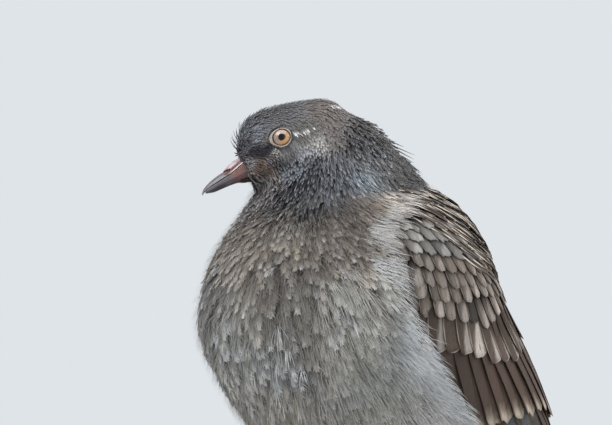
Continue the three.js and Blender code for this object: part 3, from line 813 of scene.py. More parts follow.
def scatterRoots(candidates, spacing):  # thins random places until none is nearer than its spacing
    kept, cell = [], spacing.max()
    grid = {}
    keys = np.floor(candidates / cell).astype(int)
    for i in rng.permutation(len(candidates)):
        x, y, z = keys[i]
        p, reach = candidates[i], spacing[i] ** 2
        near = [k for dx in (-1, 0, 1) for dy in (-1, 0, 1) for dz in (-1, 0, 1)
                for k in grid.get((x + dx, y + dy, z + dz), ())]
        if near:
            gaps = candidates[near] - p
            if (np.einsum("ij,ij->i", gaps, gaps) < reach).any():
                continue
        kept.append(i)
        grid.setdefault((x, y, z), []).append(i)
    return np.array(kept)


def skinCandidates(count):  # random places on the skin, more where the feathers are close
    a, b, c = (skinVerts[skinTris[:, k]] for k in range(3))
    area = np.linalg.norm(np.cross(b - a, c - a), axis=1) / 2
    middles = (a + b + c) / 3
    gap = tractShares(middles) @ tractCoat[:, 3] * mm
    chance = area / gap ** 2
    face = rng.choice(len(skinTris), count, p=chance / chance.sum())
    u, v = rng.random((2, count))
    u, v = np.where(u + v > 1, 1 - u, u), np.where(u + v > 1, 1 - v, v)
    points = a[face] + (b - a)[face] * u[:, None] + (c - a)[face] * v[:, None]
    ns = skinNormals[skinTris[face]]
    normals = unit(ns[:, 0] * (1 - u - v)[:, None] + ns[:, 1] * u[:, None] + ns[:, 2] * v[:, None])
    return points, normals


candidateCount = 400000  # random places on the skin that feathers' roots are chosen from
headReach = 27  # mm about the middle of the eyes
billRoom = {"from": 13, "low": 4.7, "wide": 4.3, "high": 5.0}  # mm: no feathers grow here round the bill
spacingBands = {"face": (0, 0.62), "head": (0.62, 0.95), "neck": (0.95, 1.65), "body": (1.65, 9)}  # mm


def featherRoots():
    points, normals = skinCandidates(candidateCount)
    head = inHead(points)
    place, angle = bodyPlace(points)
    offHead = np.linalg.norm(head, axis=1) > headReach
    inWing = (wingShare(place, angle) > 0.35) & offHead
    aside = np.abs(head[:, 1])
    fromEye = head[:, (0, 2)] - ringMiddle
    atEye = (np.hypot(fromEye[:, 0], fromEye[:, 1] * eyePlan["oval"]) < eyePlan["ring"] - 0.1) & (aside > 6)
    billLine = np.hypot(head[:, 1] / billRoom["wide"], (head[:, 2] + billRoom["low"]) / billRoom["high"])
    atBill = (head[:, 0] > billRoom["from"]) & (billLine < 1)
    keep = ~(inWing | atEye | atBill)
    points, normals = points[keep], normals[keep]
    coat = tractShares(points) @ tractCoat
    chosen = []
    for low, high in spacingBands.values():
        band = np.flatnonzero((coat[:, 3] >= low) & (coat[:, 3] < high))
        chosen.append(band[scatterRoots(points[band], coat[band, 3] * mm)])
    chosen = np.concatenate(chosen)
    return points[chosen], normals[chosen], coat[chosen]


roots, rootNormals, rootCoat = featherRoots()
print("roots", len(roots))


# The markings, the same for skin and coat: each tract's colours, softly mottled.
mottleWaves = [(rng.normal(0, 1, (7, 3)), rng.uniform(0, 6.28, 7)) for _ in range(3)]


def mottle(points, size, kind):  # a soft pattern about -1 to 1, its patches about size mm across
    ways, starts = mottleWaves[kind]
    turns = points / mm @ (ways.T * 2.2 / size) + starts
    return np.sin(turns + 0.8 * np.sin(turns[:, ::-1] * 0.7)).mean(1) * 1.9


mottleLayers = ((0.22, 17, 0), (0.15, 7, 1), (0.13, 4.2, 2))  # how strong, mm across, and which waves


def plumage(points):  # the colours of a feather's base and of its tip at each point
    share = tractShares(points, 2.2)
    base, tip = share @ tractBase, share @ tractTip
    onHead = smoothStep(34, 24, np.linalg.norm(inHead(points), axis=1))
    calm = mixed(1, 0.3, onHead)
    light = 1 + sum(most * mottle(points, size, kind) for most, size, kind in mottleLayers) * calm
    warm = 0.035 * (mottle(points, 12, 2) * calm)[:, None] * np.array([1, 0.1, -1.2])
    return base * light[:, None] * (1 + warm), tip * light[:, None] * (1 + warm)


# White flecks of this bird's left side: ahead and up from the eye, and half length and half height, in mm.
flecks = [(-5.4, -1.5, 0.9, 0.6), (-6.6, -2.1, 0.6, 0.4), (-8.6, -1.8, 1.3, 0.7), (-11.6, -1.2, 0.9, 0.5),
          (-15.1, -2.0, 0.6, 0.5), (-22.6, 3.2, 1.3, 0.7), (-20.6, 3.6, 0.7, 0.4), (-25.0, 1.4, 0.7, 0.4)]


def whiteShare(points):
    ahead, side, up = (inHead(points) - (eyePlan["at"][0], 0, eyePlan["at"][1])).T
    share = [smoothStep(1.1, 0.7, np.hypot((ahead - a) / long, (up - u) / high)) for a, u, long, high in flecks]
    return np.max(share, axis=0) * (side > 0) * smoothStep(3, 5, side + np.abs(ahead) * 0.1)


# The coat's kinds of feather: how many locks a side is parted in and how far they cling, the barbs' sweep, the
# end, how ruffled, frayed and turned, and how uneven, streaky and pale-tipped; start and rise say how a feather
# comes out of the skin, as shares of the coat's depth.
coatMake = {"uneven": 0.1, "paleTips": 0, "streaky": 0.06, "rough": 0.1, "stand": 1.0, "start": -0.12,
            "rise": 0.75}
coatPlans = {
    "face": {"locks": 4, "cling": 0.6, "sweep": 0.4, "end": pointedEnd, "ruffle": 0.1, "fray": 0.15, "turn": 0.1,
             "shaded": 0.1, "uneven": 0.2, "slot": "plumage_head"},
    "head": {"locks": 5, "cling": 0.6, "sweep": 0.4, "end": softEnd, "ruffle": 0.1, "fray": 0.15, "turn": 0.1,
             "shaded": 0.1, "slot": "plumage_head"},
    "neck": {"locks": 8, "cling": 0.45, "sweep": 0.6, "end": pointedEnd, "ruffle": 0.2, "fray": 0.2, "turn": 0.14,
             "uneven": 0.2, "rough": 0.3, "shaded": -0.25, "streaky": 0.28, "slot": "plumage_neck"},
    "body": {"locks": 14, "cling": 0.36, "sweep": 0.6, "end": softEnd, "ruffle": 0.12, "fray": 0.28, "turn": 0.24,
             "shaded": 0.1, "streaky": 0.16, "rough": 0.06, "paleTips": 0.2, "uneven": 0.11,
             "slot": "plumage_body"},
    "down": {"locks": 14, "cling": 0.3, "sweep": 0.65, "end": softEnd, "ruffle": 0.16, "fray": 0.32, "turn": 0.22,
             "shaded": 0.1, "streaky": 0.14, "rough": 0.06, "paleTips": 0.18, "slot": "plumage_body"},
}
# The pieces of the coat: which plan, the feathers' spacing, and places from the tail to the nape.
coatPieces = {
    "feathers_face": ("face", "face", (0, 13)),
    "feathers_head": ("head", "head", (0, 13)),
    "feathers_neck": ("neck", "neck", (0, 13)),
    "feathers_breast": ("body", "body", (7.9, 13)),
    "feathers_belly": ("down", "body", (6.2, 7.9)),
    "feathers_flank": ("down", "body", (4.6, 6.2)),
    "feathers_rump": ("body", "body", (-1, 4.6)),
}


def coatColours(feet, ends, shown, shape, plan):  # shown: how much of a feather its neighbours leave bare
    base, tip = plumage(feet)
    count = len(feet)
    across, along, out = shape[:, 1], shape[:, 0], shape[:, 2]
    covered = (1 - along)[None] / shown[:, None]
    share = smoothStep(2.1, 0.35, covered) * (1 - plan["shaded"] * smoothStep(0.3, 1, out * np.abs(across))[None])
    light = 1 + rng.normal(0, plan["uneven"], count)
    pale = (rng.random(count) < plan["paleTips"]) * rng.uniform(0.15, 0.65, count)
    colour = mixed(base[:, None], tip[:, None], share[..., None]) * light[:, None, None]
    tipPart = smoothStep(1.1, 0.4, covered) * smoothStep(1.1, 0.2, np.abs(across))[None]
    perLock = (count, int(shape[:, 3].max()) + 1)
    barbs = rng.uniform(0.2, 1.3, perLock)[:, shape[:, 3].astype(int)]
    colour = mixed(colour, linear("#c4c6c7"), np.clip(pale[:, None] * tipPart * barbs, 0, 1)[..., None])
    locks = rng.normal(0, plan["streaky"], perLock)[:, shape[:, 3].astype(int)]
    colour = colour * (1 + locks * smoothStep(0.1, 0.5, out))[..., None]
    warm = rng.normal(0, 0.02, count)
    colour = colour * (1 + warm[:, None, None] * np.array([1, 0, -1]))
    white = whiteShare(ends)[:, None] * smoothStep(0.25, 0.6, along)[None]
    colour = mixed(colour, linear("#dcdddd"), white[..., None])
    return np.clip(colour.reshape(-1, 3), 0, 1)


def batchOf(feet, verts, faces, vane, tints, long, wide):  # what a piece's mesh needs of some feathers
    span = np.column_stack([long / mm, wide / mm, np.full(len(feet), 9.0)])  # the last keeps their edges plain
    return {"verts": verts, "faces": faces, "vane": vane, "feet": feet,
            "tints": np.clip(tints.reshape(-1, 3), 0, 1), "span": np.repeat(span, len(verts) // len(feet), axis=0)}


# Lays vanes or strands of one plan from their feet, in four patterns.
def coatBatch(plan, feet, normals, coat, long, wide, turn, colours=None):
    plan, count = {**coatMake, **plan}, len(feet)
    lines, outs = traceFeathers(feet, normals, long, turn)
    height = 1 + plan["rough"] * rng.uniform(-1.3, 1, count) + 0.12 * mottle(feet, 9, 1)
    depth = coat[:, 0] * mm * plan["stand"] * (tractShares(feet) @ tractStand)
    batches = []
    kinds = rng.integers(0, 4, count)
    for kind in range(4):
        pick = np.flatnonzero(kinds == kind)
        if not len(pick):
            continue
        if "strand" in plan:
            template = strandTemplate(plan["strand"])
        else:
            template = vaneTemplate(plan["locks"], plan["cling"], plan["sweep"], plan["end"], kind + 3,
                                    plan["fray"])
        raised = plan["start"] + 1.02 * template[0][:, 0] ** plan["rise"]
        raised = depth[pick, None] * raised[None] * height[pick, None]
        laid = layVanes(template, lines[pick], outs[pick], wide[pick], raised, plan["ruffle"] * depth[pick] * 0.5)
        if colours is None:
            ends = alongLine(lines[pick], np.array([0.8]))[:, 0]
            tints = coatColours(feet[pick], ends, coat[pick, 3] * mm / long[pick], template[0], plan)
        else:
            tints = np.repeat(colours[pick], len(template[0]), axis=0)
        batches.append(batchOf(feet[pick], *laid, tints, long[pick], wide[pick]))
    return batches


def roomAtEye(points, normals):  # mm from each root, along the lie, to the bare ring round the eye
    head = inHead(points)
    way = lieAt(points, normals) @ headAxes.T
    oval = np.array([1, eyePlan["oval"]])
    flat, away = unit(way[:, (0, 2)] * oval), (head[:, (0, 2)] - ringMiddle) * oval
    along = -(away * flat).sum(1)
    inside = eyePlan["ring"] ** 2 - (away ** 2).sum(1) + along ** 2
    reach = along - np.sqrt(np.maximum(inside, 0))
    beside = (np.abs(head[:, 1]) > 5) & (inside > 0) & (along > 0)
    return np.where(beside, np.maximum(reach, 0), 99.0)


def toWing(points):  # degrees from each point up to the wing's low edge, 99 away from it
    place, angle = bodyPlace(points)
    low = edgeAt(place, "low")
    return np.where((angle < low + 3) & (place > 3) & (place < 9.8), low - angle, 99.0)


def addCoatPiece(name, chosen, plan, material):
    feet, normals, coat = roots[chosen], rootNormals[chosen], rootCoat[chosen]
    count = len(feet)
    beside = smoothStep(9, 1, toWing(feet))
    room = roomAtEye(feet, normals) + 0.15
    long = coat[:, 1] * rng.uniform(0.86, 1.14, count) * (1 - 0.45 * beside)
    long = np.minimum(long, np.maximum(room, 0.7)) * mm
    wide = np.minimum(coat[:, 2] * rng.uniform(0.88, 1.14, count) * mm, long * 0.4)
    batches = coatBatch(plan, feet, normals, coat, long, wide, rng.normal(0, plan["turn"], count))
    joinBlades(name, batches, material)


# Small feathers grow forward between the halves of the jaw, under the bill: their rows, in mm ahead of the eyes,
# how far they reach aside, and their size.
chinRows = {"from": 12.5, "to": 20.2, "gap": 0.7, "aside": 2.1, "long": 3.0, "wide": 0.34, "depth": 0.75,
            "look": ("#1d1a20", "#5d4e47")}


def addChin(material):
    tree, _ = treeOf(weldedCopy("bill_lower", 0.1 * mm))
    feet, ways = [], []
    for row, ahead in enumerate(np.arange(chinRows["from"], chinRows["to"], chinRows["gap"])):
        for side in np.arange(-chinRows["aside"], chinRows["aside"] + 0.1, 0.5) + (row % 2) * 0.25:
            start = fromHead([ahead, side, -16])
            hit = tree.ray_cast(Vector(start), Vector(headUp))
            if hit[0] is not None:
                feet.append(np.array(hit[0]))
                ways.append(-headAhead + headSide * rng.normal(0, 0.12) - headUp * 0.12)
    feet, ways = np.array(feet), unit(np.array(ways))
    count = len(feet)
    long, wide = chinRows["long"] * mm * rng.uniform(0.8, 1.2, count), np.full(count, chinRows["wide"] * mm)
    lines = feet[:, None] + ways[:, None] * (long[:, None] * np.linspace(0, 1, steps))[..., None]
    shape, faces = vaneTemplate(5, 0.4, 0.6, pointedEnd, 2, 0.12)
    raised = chinRows["depth"] * mm * (0.1 + shape[None, :, 0] ** 0.8) * np.ones((count, 1))
    outs = np.tile(-headUp, (count, steps, 1))
    laid = layVanes((shape, faces), lines, outs, wide, raised, np.full(count, 0.1 * mm))
    base, tip = (linear(colour) for colour in chinRows["look"])
    tints = mixed(base, tip, smoothStep(0.3, 1, shape[None, :, 0:1])) * rng.uniform(0.75, 1.25, (count, 1, 1))
    joinBlades("feathers_chin", [batchOf(feet, *laid, tints, long, wide)], material)


# A spike: round bristle or rolled hackle tip. Gives (along, side, out) for each vertex and the triangles.
def spikeTemplate(rings):
    verts = []
    for ring in range(rings):
        t = ring / rings
        slim = (1 - t) ** 0.6
        verts += [(t, slim * a, slim * b) for a, b in ((1, 0), (0, 0.6), (-1, 0), (0, -0.6))]
    verts.append((1.0, 0.0, 0.0))
    faces, tip = [], rings * 4
    for ring in range(rings - 1):
        for k in range(4):
            a, b = ring * 4 + k, ring * 4 + (k + 1) % 4
            faces += [(a, a + 4, b + 4), (a, b + 4, b)]
    faces += [(tip - 4 + k, tip, tip - 4 + (k + 1) % 4) for k in range(4)]
    faces += [(0, 1, 2), (0, 2, 3)]
    return np.array(verts), np.array(faces)


# Spikes stand on chosen parts of the head and the nape: their size and spacing in mm, and how far their
# ends rise off the coat.
spikePlans = {
    "bristles_forehead": {"spacing": 1.25, "long": 3.8, "wide": 0.31, "rise": 2.3, "lean": ((6, 13), (0.3, 1.0)),
                          "tint": ("#19181b", "#333136"), "slot": "plumage_head"},
    "hackles_nape": {"spacing": 2.6, "long": 9.5, "wide": 0.6, "rise": 3.8, "lean": ((-30, 0), (1, 1)),
                     "tint": ("#2f2c2b", "#625e5b"), "slot": "plumage_neck"},
}


def spikeRoots(name):
    ahead, side, up = inHead(roots).T
    place, angle = bodyPlace(roots)
    if name == "bristles_forehead":
        return (ahead > 3) & (ahead < 15.8) & (up > 1.5) & (np.abs(side) < 7.5) & (up + ahead * 0.6 > 9.2)
    return (place > 10.7) & (place < 11.75) & (np.abs(angle) > 35) & (angle > 0) & (ahead < -18)


def addSpikes(name, plan, material):
    found = np.flatnonzero(spikeRoots(name))
    pick = found[scatterRoots(roots[found], np.full(len(found), plan["spacing"] * mm))]
    count = len(pick)
    long = plan["long"] * mm * rng.uniform(0.7, 1.25, count)
    wide = plan["wide"] * mm * rng.uniform(0.8, 1.2, count)
    lines, outs = traceFeathers(roots[pick], rootNormals[pick], long, rng.normal(0, 0.3, count))
    shape, faces = spikeTemplate(5)
    t, corners = shape[:, 0], len(shape)
    middle, _, side, out = vaneAxes(lines, outs, t)
    depth = (rootCoat[pick, 0] * 0.7 * mm)[:, None]
    place, _ = bodyPlace(roots[pick])
    lean = np.interp(inHead(roots[pick])[:, 0], *plan["lean"])
    rise = plan["rise"] * mm * (rng.uniform(0.5, 1.2, count) * smoothStep(10.2, 11.6, place) * lean)[:, None]
    raised = depth * np.minimum(1, 0.2 + 2 * t) + rise * t ** 1.3
    verts = middle + side * (shape[:, 1] * wide[:, None])[..., None]
    verts = (verts + out * (raised + shape[:, 2] * wide[:, None])[..., None]).reshape(-1, 3)
    vane = vanePlaces(shape[:, 1], t, rng.random(count))
    low, high = (linear(colour) for colour in plan["tint"])
    tints = mixed(low, high, t[None, :, None]) * rng.uniform(0.8, 1.2, (count, 1, 1))
    batch = batchOf(roots[pick], verts, copied(faces, count, corners), vane, tints, long, wide)
    joinBlades(name, [batch], material)


# Loose filaments over the soft parts of the coat: how many for each feather there, their size in mm, how far
# they scatter and fan, and on which share of the feathers they grow.
strandMake = {"strand": 4, "ruffle": 0, "stand": 1.12, "start": 0.35, "rise": 0.8, "some": 1, "scatter": 1.1,
              "fan": 0.28, "turn": 0}
strandPlans = {
    "filaments_flank": {"tracts": ("flankTop", "flank", "flankEdge", "lowFlank", "shoulder", "wingBend"), "each": 9,
                        "long": 9, "wide": 0.07, "light": 1.3},
    "filaments_breast": {"tracts": ("lowBreast", "belly", "side", "breastSide", "vent"), "each": 9, "long": 6.5,
                         "wide": 0.065, "light": 1.25},
    "filaments_crop": {"tracts": ("breast", "breastFront", "breastDark", "crop", "cropSide", "neckBase"), "each": 8,
                       "long": 5, "wide": 0.06, "light": 1.2},
    "filaments_neck": {"tracts": ("throat", "neckSide", "neckFront", "nape", "throatSideShade", "napeFoot", "throatFoot",
                                  "ruff"), "each": 2, "long": 5, "wide": 0.055, "light": 1.25},
    "fringe_flank": {"tracts": ("flankTop", "flank", "flankEdge", "shoulder"), "each": 9, "long": 7.5, "wide": 0.08,
                     "tint": "#c9cccf", "besideWing": 7, "turn": 0.7},
    "white_tufts": {"tracts": ("breast", "breastDark", "breastSide", "lowBreast", "belly"), "each": 9, "long": 5,
                    "wide": 0.1, "tint": "#c6c9cb", "some": 0.05, "scatter": 0.3, "fan": 0.36},
}


def addStrands(name, plan, material):
    plan = {**strandMake, **plan}
    share = tractShares(roots) @ np.array([float(row[5]["name"] in plan["tracts"]) for row in tractRows])
    pick = np.flatnonzero((share > 0.5) & (rng.random(len(roots)) < plan["some"]))
    if "besideWing" in plan:
        pick = pick[toWing(roots[pick]) < plan["besideWing"]]
    pick = np.repeat(pick, plan["each"])
    feet, normals = nearestOnSkin(roots[pick] + rng.normal(0, plan["scatter"], (len(pick), 3)) * mm)
    count = len(feet)
    long = plan["long"] * mm * rng.uniform(0.6, 1.3, count)
    base, tip = plumage(feet)
    colours = linear(plan["tint"]) if "tint" in plan else mixed(base, tip, 0.8) * plan["light"]
    colours = np.clip(colours * rng.uniform(0.75, 1.2, (count, 1)), 0, 1)
    turn = rng.normal(0, plan["fan"], count) + plan["turn"] * np.sign(feet[:, 0])
    batches = coatBatch(plan, feet, normals, rootCoat[pick], long, np.full(count, plan["wide"] * mm), turn, colours)
    joinBlades(name, batches, material)


# A blade: rows along it and columns across, with a rounded end, a thin underside and closed edges.
# Gives (along, across, layer, column) for each vertex and the triangles.
def bladeTemplate(rows, columns, outline, roundness):
    root, widening, narrowing, since = outline
    alongs = 1 - (1 - np.linspace(0, 1, rows)) ** 1.25
    half = [min(1.0, root + widening * u) * (1 - narrowing * smoothStep(since, 1, u)) for u in alongs]
    acrosses = np.sin(np.linspace(-1, 1, columns) * math.pi / 2)
    end = 1 - roundness * (1 - np.sqrt(1 - acrosses ** 2 * 0.999))
    verts = [(u * end[j], s * wide, layer, j) for layer in (0, 1) for u, wide in zip(alongs, half)
             for j, s in enumerate(acrosses)]
    faces, sheet = [], rows * columns
    for i in range(rows - 1):
        for j in range(columns - 1):
            a = i * columns + j
            b, c, d = a + 1, a + columns + 1, a + columns
            faces += [(a, d, c), (a, c, b)]
            faces += [(a + sheet, c + sheet, d + sheet), (a + sheet, b + sheet, c + sheet)]
    rim = [i * columns for i in range(rows)] + [(rows - 1) * columns + j for j in range(1, columns)]
    rim += [i * columns + columns - 1 for i in range(rows - 2, -1, -1)]
    rim += [j for j in range(columns - 2, 0, -1)]
    for a, b in zip(rim, rim[1:] + rim[:1]):
        faces += [(a, a + sheet, b + sheet), (a, b + sheet, b)]
    return np.array(verts), np.array(faces)


# Outlines: a blade's half width at its root, how fast it widens, how much it narrows at its end and from where.
covertOutline, lanceOutline, quillOutline = (0.45, 1.5, 0.12, 0.75), (0.5, 1.6, 0.5, 0.5), (0.35, 2.4, 0.35, 0.55)

# What a row of blades is made with unless it says otherwise; lengths are in mm.
bladeMake = {"offset": 0.0, "arch": 0.18, "tilt": 0.12, "thick": 0.22, "lift": 0, "rise": 1.6, "ripple": 0.05,
             "ragged": 0.2, "wedge": 0.2, "splitVaries": 0.1, "shaded": 0, "uneven": 0.08, "edged": (0.4, 0.85)}


def bladeColours(plan, vane, corners):
    s, t = vane[:, 0], vane[:, 1]
    count = len(vane) // corners
    colour = mixed(linear(plan["root"])[None], linear(plan["tip"])[None], smoothStep(0.2, 0.9, t)[:, None])
    if "inner" in plan:  # the paler inner web, a wedge that widens towards the end
        split = np.repeat(plan["split"] + rng.normal(0, plan["splitVaries"], count), corners)
        split = -1 + (split + 1) * smoothStep(plan["wedge"], 0.95, t)
        share = smoothStep(split + 0.12, split - 0.12, s) * smoothStep(0.3, 0.6, t)
        colour = mixed(colour, linear(plan["inner"])[None], (share * plan["innerShare"])[:, None])
    if "end" in plan:  # a pale end, drawn up along the shaft
        level = t - plan["endPeak"] * np.abs(s - plan["endAt"])
        share = smoothStep(plan["endFrom"] - 0.012, plan["endFrom"] + 0.02, level)
        colour = mixed(colour, linear(plan["end"])[None], share[:, None])
    colour = colour * (1 - plan["shaded"] * smoothStep(0.25, 1, np.abs(s)))[:, None]
    light = np.repeat(1 + rng.normal(0, plan["uneven"], count), corners)
    return np.clip(colour * light[:, None], 0, 1)


def joinBlades(name, batches, material, replaced=()):
    starts = np.cumsum([0] + [len(batch["verts"]) for batch in batches])
    faces = np.concatenate([batch["faces"] + start for batch, start in zip(batches, starts)])
    whole = {key: np.concatenate([batch[key] for batch in batches]) for key in batches[0] if key != "faces"}
    mesh = makeMesh(name, whole["verts"], faces)
    setTint(mesh, whole["tints"])
    setNumbers(mesh, "vane", "FLOAT_VECTOR", whole["vane"])
    setNumbers(mesh, "span", "FLOAT_VECTOR", whole["span"])
    if "fringe" in whole:
        setNumbers(mesh, "fringe", "FLOAT_COLOR", whole["fringe"])
    setBakeMap(mesh, np.concatenate([bakePatches(batch["feet"], batch["vane"]) for batch in batches]))
    print(name, len(whole["feet"]), "feathers", len(mesh.polygons), "triangles")
    return makePiece(name, mesh, material, replaced)


# Lays blades on middle lines. Across runs from the blade's inner edge, -1, to its outer edge, 1.
def bladeBatch(plan, lines, outs, hand):
    plan, count = {**bladeMake, **plan}, len(lines)
    shape, faces = bladeTemplate(plan["rows"], plan["columns"], plan["outline"], plan["roundness"])
    corners, (t, s, layer, column) = len(shape), shape.T
    long = np.linalg.norm(np.diff(lines, axis=1), axis=2).sum(1)
    wide = plan["wide"] * mm * rng.uniform(0.94, 1.06, count)
    tip = plan["lift"] * mm * np.ones(count) + rng.normal(0, 0.12 * mm, count)
    middle, ahead, side, out = vaneAxes(lines, outs, t)
    reach = hand * (s + plan["offset"] * (1 - np.abs(s)))[None] * wide[:, None]
    bend = plan["arch"] * (s ** 2)[None] * wide[:, None]
    tilt = plan["tilt"] * s[None] * wide[:, None]
    ripple = rng.normal(0, plan["ripple"] * mm, (count, corners)) * (np.abs(s) > 0.9)[None]
    raised = tip[:, None] - plan["sink"] * mm * (1 - t[None]) ** plan["rise"]
    raised = raised - bend + tilt + ripple - layer[None] * plan["thick"] * mm
    notches = rng.normal(0, plan["ragged"] * mm, (count, plan["columns"]))[:, column.astype(int)]
    verts = middle + side * reach[..., None] + out * raised[..., None]
    verts = (verts + ahead * (notches * smoothStep(0.75, 1, t / t.max()))[..., None]).reshape(-1, 3)
    vane = vanePlaces(s, t, rng.random(count))
    edge = np.minimum((1 - np.abs(s))[None] * wide[:, None], (1 - t)[None] * long[:, None]) / mm
    span = np.column_stack([np.repeat(long / mm, corners), np.repeat(wide / mm, corners), edge.ravel()])
    edging, share = plan["fringe"]
    share = share * smoothStep(*plan["edged"], vane[:, 1])
    fringe = np.column_stack([np.tile(linear(edging), (len(verts), 1)), share])
    return {"verts": verts, "faces": copied(faces if hand > 0 else faces[:, ::-1], count, corners), "vane": vane,
            "span": span, "feet": lines[:, 0], "fringe": fringe, "tints": bladeColours(plan, vane, corners)}


# The wing's feathers fan out: how many degrees they lean for each place from tip to root, by their tips' angle.
wingFan = {"angle": [-35, -14, 8, 35], "lean": [-12, -9, -3, 1.5]}


def fanned(tipAngle, share):
    return mixed(3.0, np.interp(tipAngle, wingFan["angle"], wingFan["lean"]), share)[:, None]


def wingLines(tipPlace, tipAngle, long, skew, hand, top=9.4):  # middle lines on the wing, from root to tip
    start = tipPlace[:, None]
    place = mixed(start, np.maximum(top, start + 0.35), np.linspace(0, 1, 25)[None])
    points = onWing(place, tipAngle[:, None] - skew * (place - start), hand)
    run = np.cumsum(np.linalg.norm(np.diff(points, axis=1, prepend=points[:, :1]), axis=2), axis=1)
    wanted = np.minimum(long * mm, run[:, -1])[:, None] * (1 - np.linspace(0, 1, steps))[None]
    place = np.array([np.interp(*row) for row in zip(wanted, run, place)])
    angle = tipAngle[:, None] - skew * (place - start)
    return onWing(place, angle, hand), wingNormal(place, angle, hand)


covertMake = {"rows": 9, "columns": 13, "outline": covertOutline, "sink": 2.0, "lift": 0.15, "tilt": 0.17,
              "arch": 0.12, "uneven": 0.16, "ragged": 0.22}
lesser = {"inner": "#a9a7a4", "split": -0.1, "splitVaries": 0.5, "innerShare": 0.5, "wedge": 0.4, "shaded": 0.5,
          "uneven": 0.14, "ragged": 0.5}
median = {"gap": 5.0, "long": 13, "wide": 2.6, "root": "#332b27", "tip": "#7a716a", "inner": "#a39b96",
          "split": 0.0, "splitVaries": 0.7, "innerShare": 0.6, "shaded": 0.74, "uneven": 0.26,
          "fringe": ("#a89d93", 0.4)}
# Rows of coverts. Tips: the place of a feather's tip at each angle. Sizes are in mm.
covertRows = {
    "bend": {"tips": ((-20, 8), (9.8, 9.75)), "gap": 5.5, "long": 8, "wide": 2.2, "root": "#4c4744",
             "tip": "#9a9490", "shaded": 0.4, "uneven": 0.24, "fringe": ("#a79f98", 0.2)},
    "lesser4": {"tips": ((-26, 14), (9.58, 9.5)), "gap": 5.6, "long": 9, "wide": 2.5, "root": "#4a4644",
                "tip": "#8c8784", "shaded": 0.45, "uneven": 0.26, "fringe": ("#989089", 0.2)},
    "lesser3": {**lesser, "tips": ((-30, 16), (9.32, 9.15)), "gap": 5.8, "long": 11, "wide": 2.7,
                "root": "#3b3836", "tip": "#7d7a77", "fringe": ("#4c4c4e", 0.3)},
    "lesser2": {**lesser, "tips": ((-33, 18), (9.08, 8.8)), "gap": 6.0, "long": 12, "wide": 2.9,
                "root": "#322f2d", "tip": "#7b7876", "fringe": ("#4a4b4d", 0.3)},
    "lesser1": {**lesser, "tips": ((-34, 20), (8.85, 8.4)), "gap": 6.2, "long": 13, "wide": 3.1,
                "root": "#2f2c2a", "tip": "#767371", "fringe": ("#47484a", 0.3)},
    "lesser0": {**lesser, "tips": ((-35, -14, 22), (8.72, 8.4, 7.9)), "gap": 6.6, "long": 15, "wide": 3.4,
                "root": "#2d2a28", "tip": "#716e6c", "fringe": ("#47484a", 0.3)},
    "median3": {**median, "tips": ((-35, -15, 30), (8.5, 8.16, 7.5)), "tip": "#6d645d", "inner": "#958d88",
                "fan": 0.3},
    "median2": {**median, "tips": ((-35, -15, 32), (8.25, 7.9, 7.2)), "fan": 0.5},
    "median1": {**median, "tips": ((-33, -14, 34), (8.0, 7.64, 6.95)), "long": 14, "fan": 0.7},
    "median0": {**median, "tips": ((-31, -14, 0, 60), (7.74, 7.38, 6.98, 6.7)), "long": 16, "wide": 2.8,
                "blunt": 0.7, "fan": 0.85},
    "greater": {"tips": ((-29, -14, 0, 10, 70), (7.15, 6.86, 6.45, 6.2, 6.1)), "gap": 5.8, "long": 26, "wide": 3.9,
                "blunt": 0.4, "root": "#2f2824", "tip": "#564a43", "inner": "#a59e98", "split": 0.15,
                "splitVaries": 0.5, "wedge": 0.0, "innerShare": 0.9, "shaded": 0.15, "fan": 1,
                "fringe": ("#b9aea4", 0.6), "ragged": 0.08},
}


# How light the wing's feathers are round the body: dusky at the front edge, lighter towards the back.
wingTone = {"angle": [-34, -22, -8, 8, 30], "light": [0.66, 0.66, 0.95, 1.12, 1.2]}


def toned(batch, tipAngle):
    light = np.interp(tipAngle, wingTone["angle"], wingTone["light"])
    batch["tints"] = np.clip(batch["tints"] * np.repeat(light, len(batch["tints"]) // len(light))[:, None], 0, 1)
    return batch


def addCoverts(name, hand, material):
    batches = []
    for order, plan in enumerate(covertRows.values()):
        angles, tips = plan["tips"]
        tipAngle = np.arange(angles[0], angles[-1] + 0.1, plan["gap"]) + (order % 2) * plan["gap"] / 2
        tipAngle = tipAngle + rng.normal(0, 0.5, len(tipAngle))
        tipPlace = np.interp(tipAngle, angles, tips) + rng.normal(0, 0.02, len(tipAngle))
        lines, outs = wingLines(tipPlace, tipAngle, plan["long"], fanned(tipAngle, plan.get("fan", 0)), hand)
        make = {"roundness": plan["wide"] / plan["long"] * plan.get("blunt", 0.85), **covertMake, **plan}
        batch = bladeBatch(make, lines, outs, hand)
        batches.append(toned(batch, tipAngle) if "fan" in plan else batch)
    joinBlades("coverts_" + name, batches, material)


# Scapulars lie over the wing's upper edge, long and narrow, and slant towards the back.
scapulars = {"rows": 10, "columns": 9, "outline": lanceOutline, "roundness": 0.12, "wide": 2.3, "long": 27,
             "sink": 2.0, "lift": 0.45, "tilt": 0.42, "arch": 0.2, "root": "#130f0d", "tip": "#372e28",
             "front": "#756b63", "uneven": 0.3, "shaded": 0.2, "fringe": ("#cdc3b8", 1.0), "edged": (0.1, 0.45),
             "gap": 2.7, "step": 0.5}
scapularEdge = {"place": [6.4, 6.8, 7.1, 7.5, 8, 8.5, 9, 9.4, 9.8], "angle": [84, 58, 34, 18, 11, 4, -3, -9, -12]}


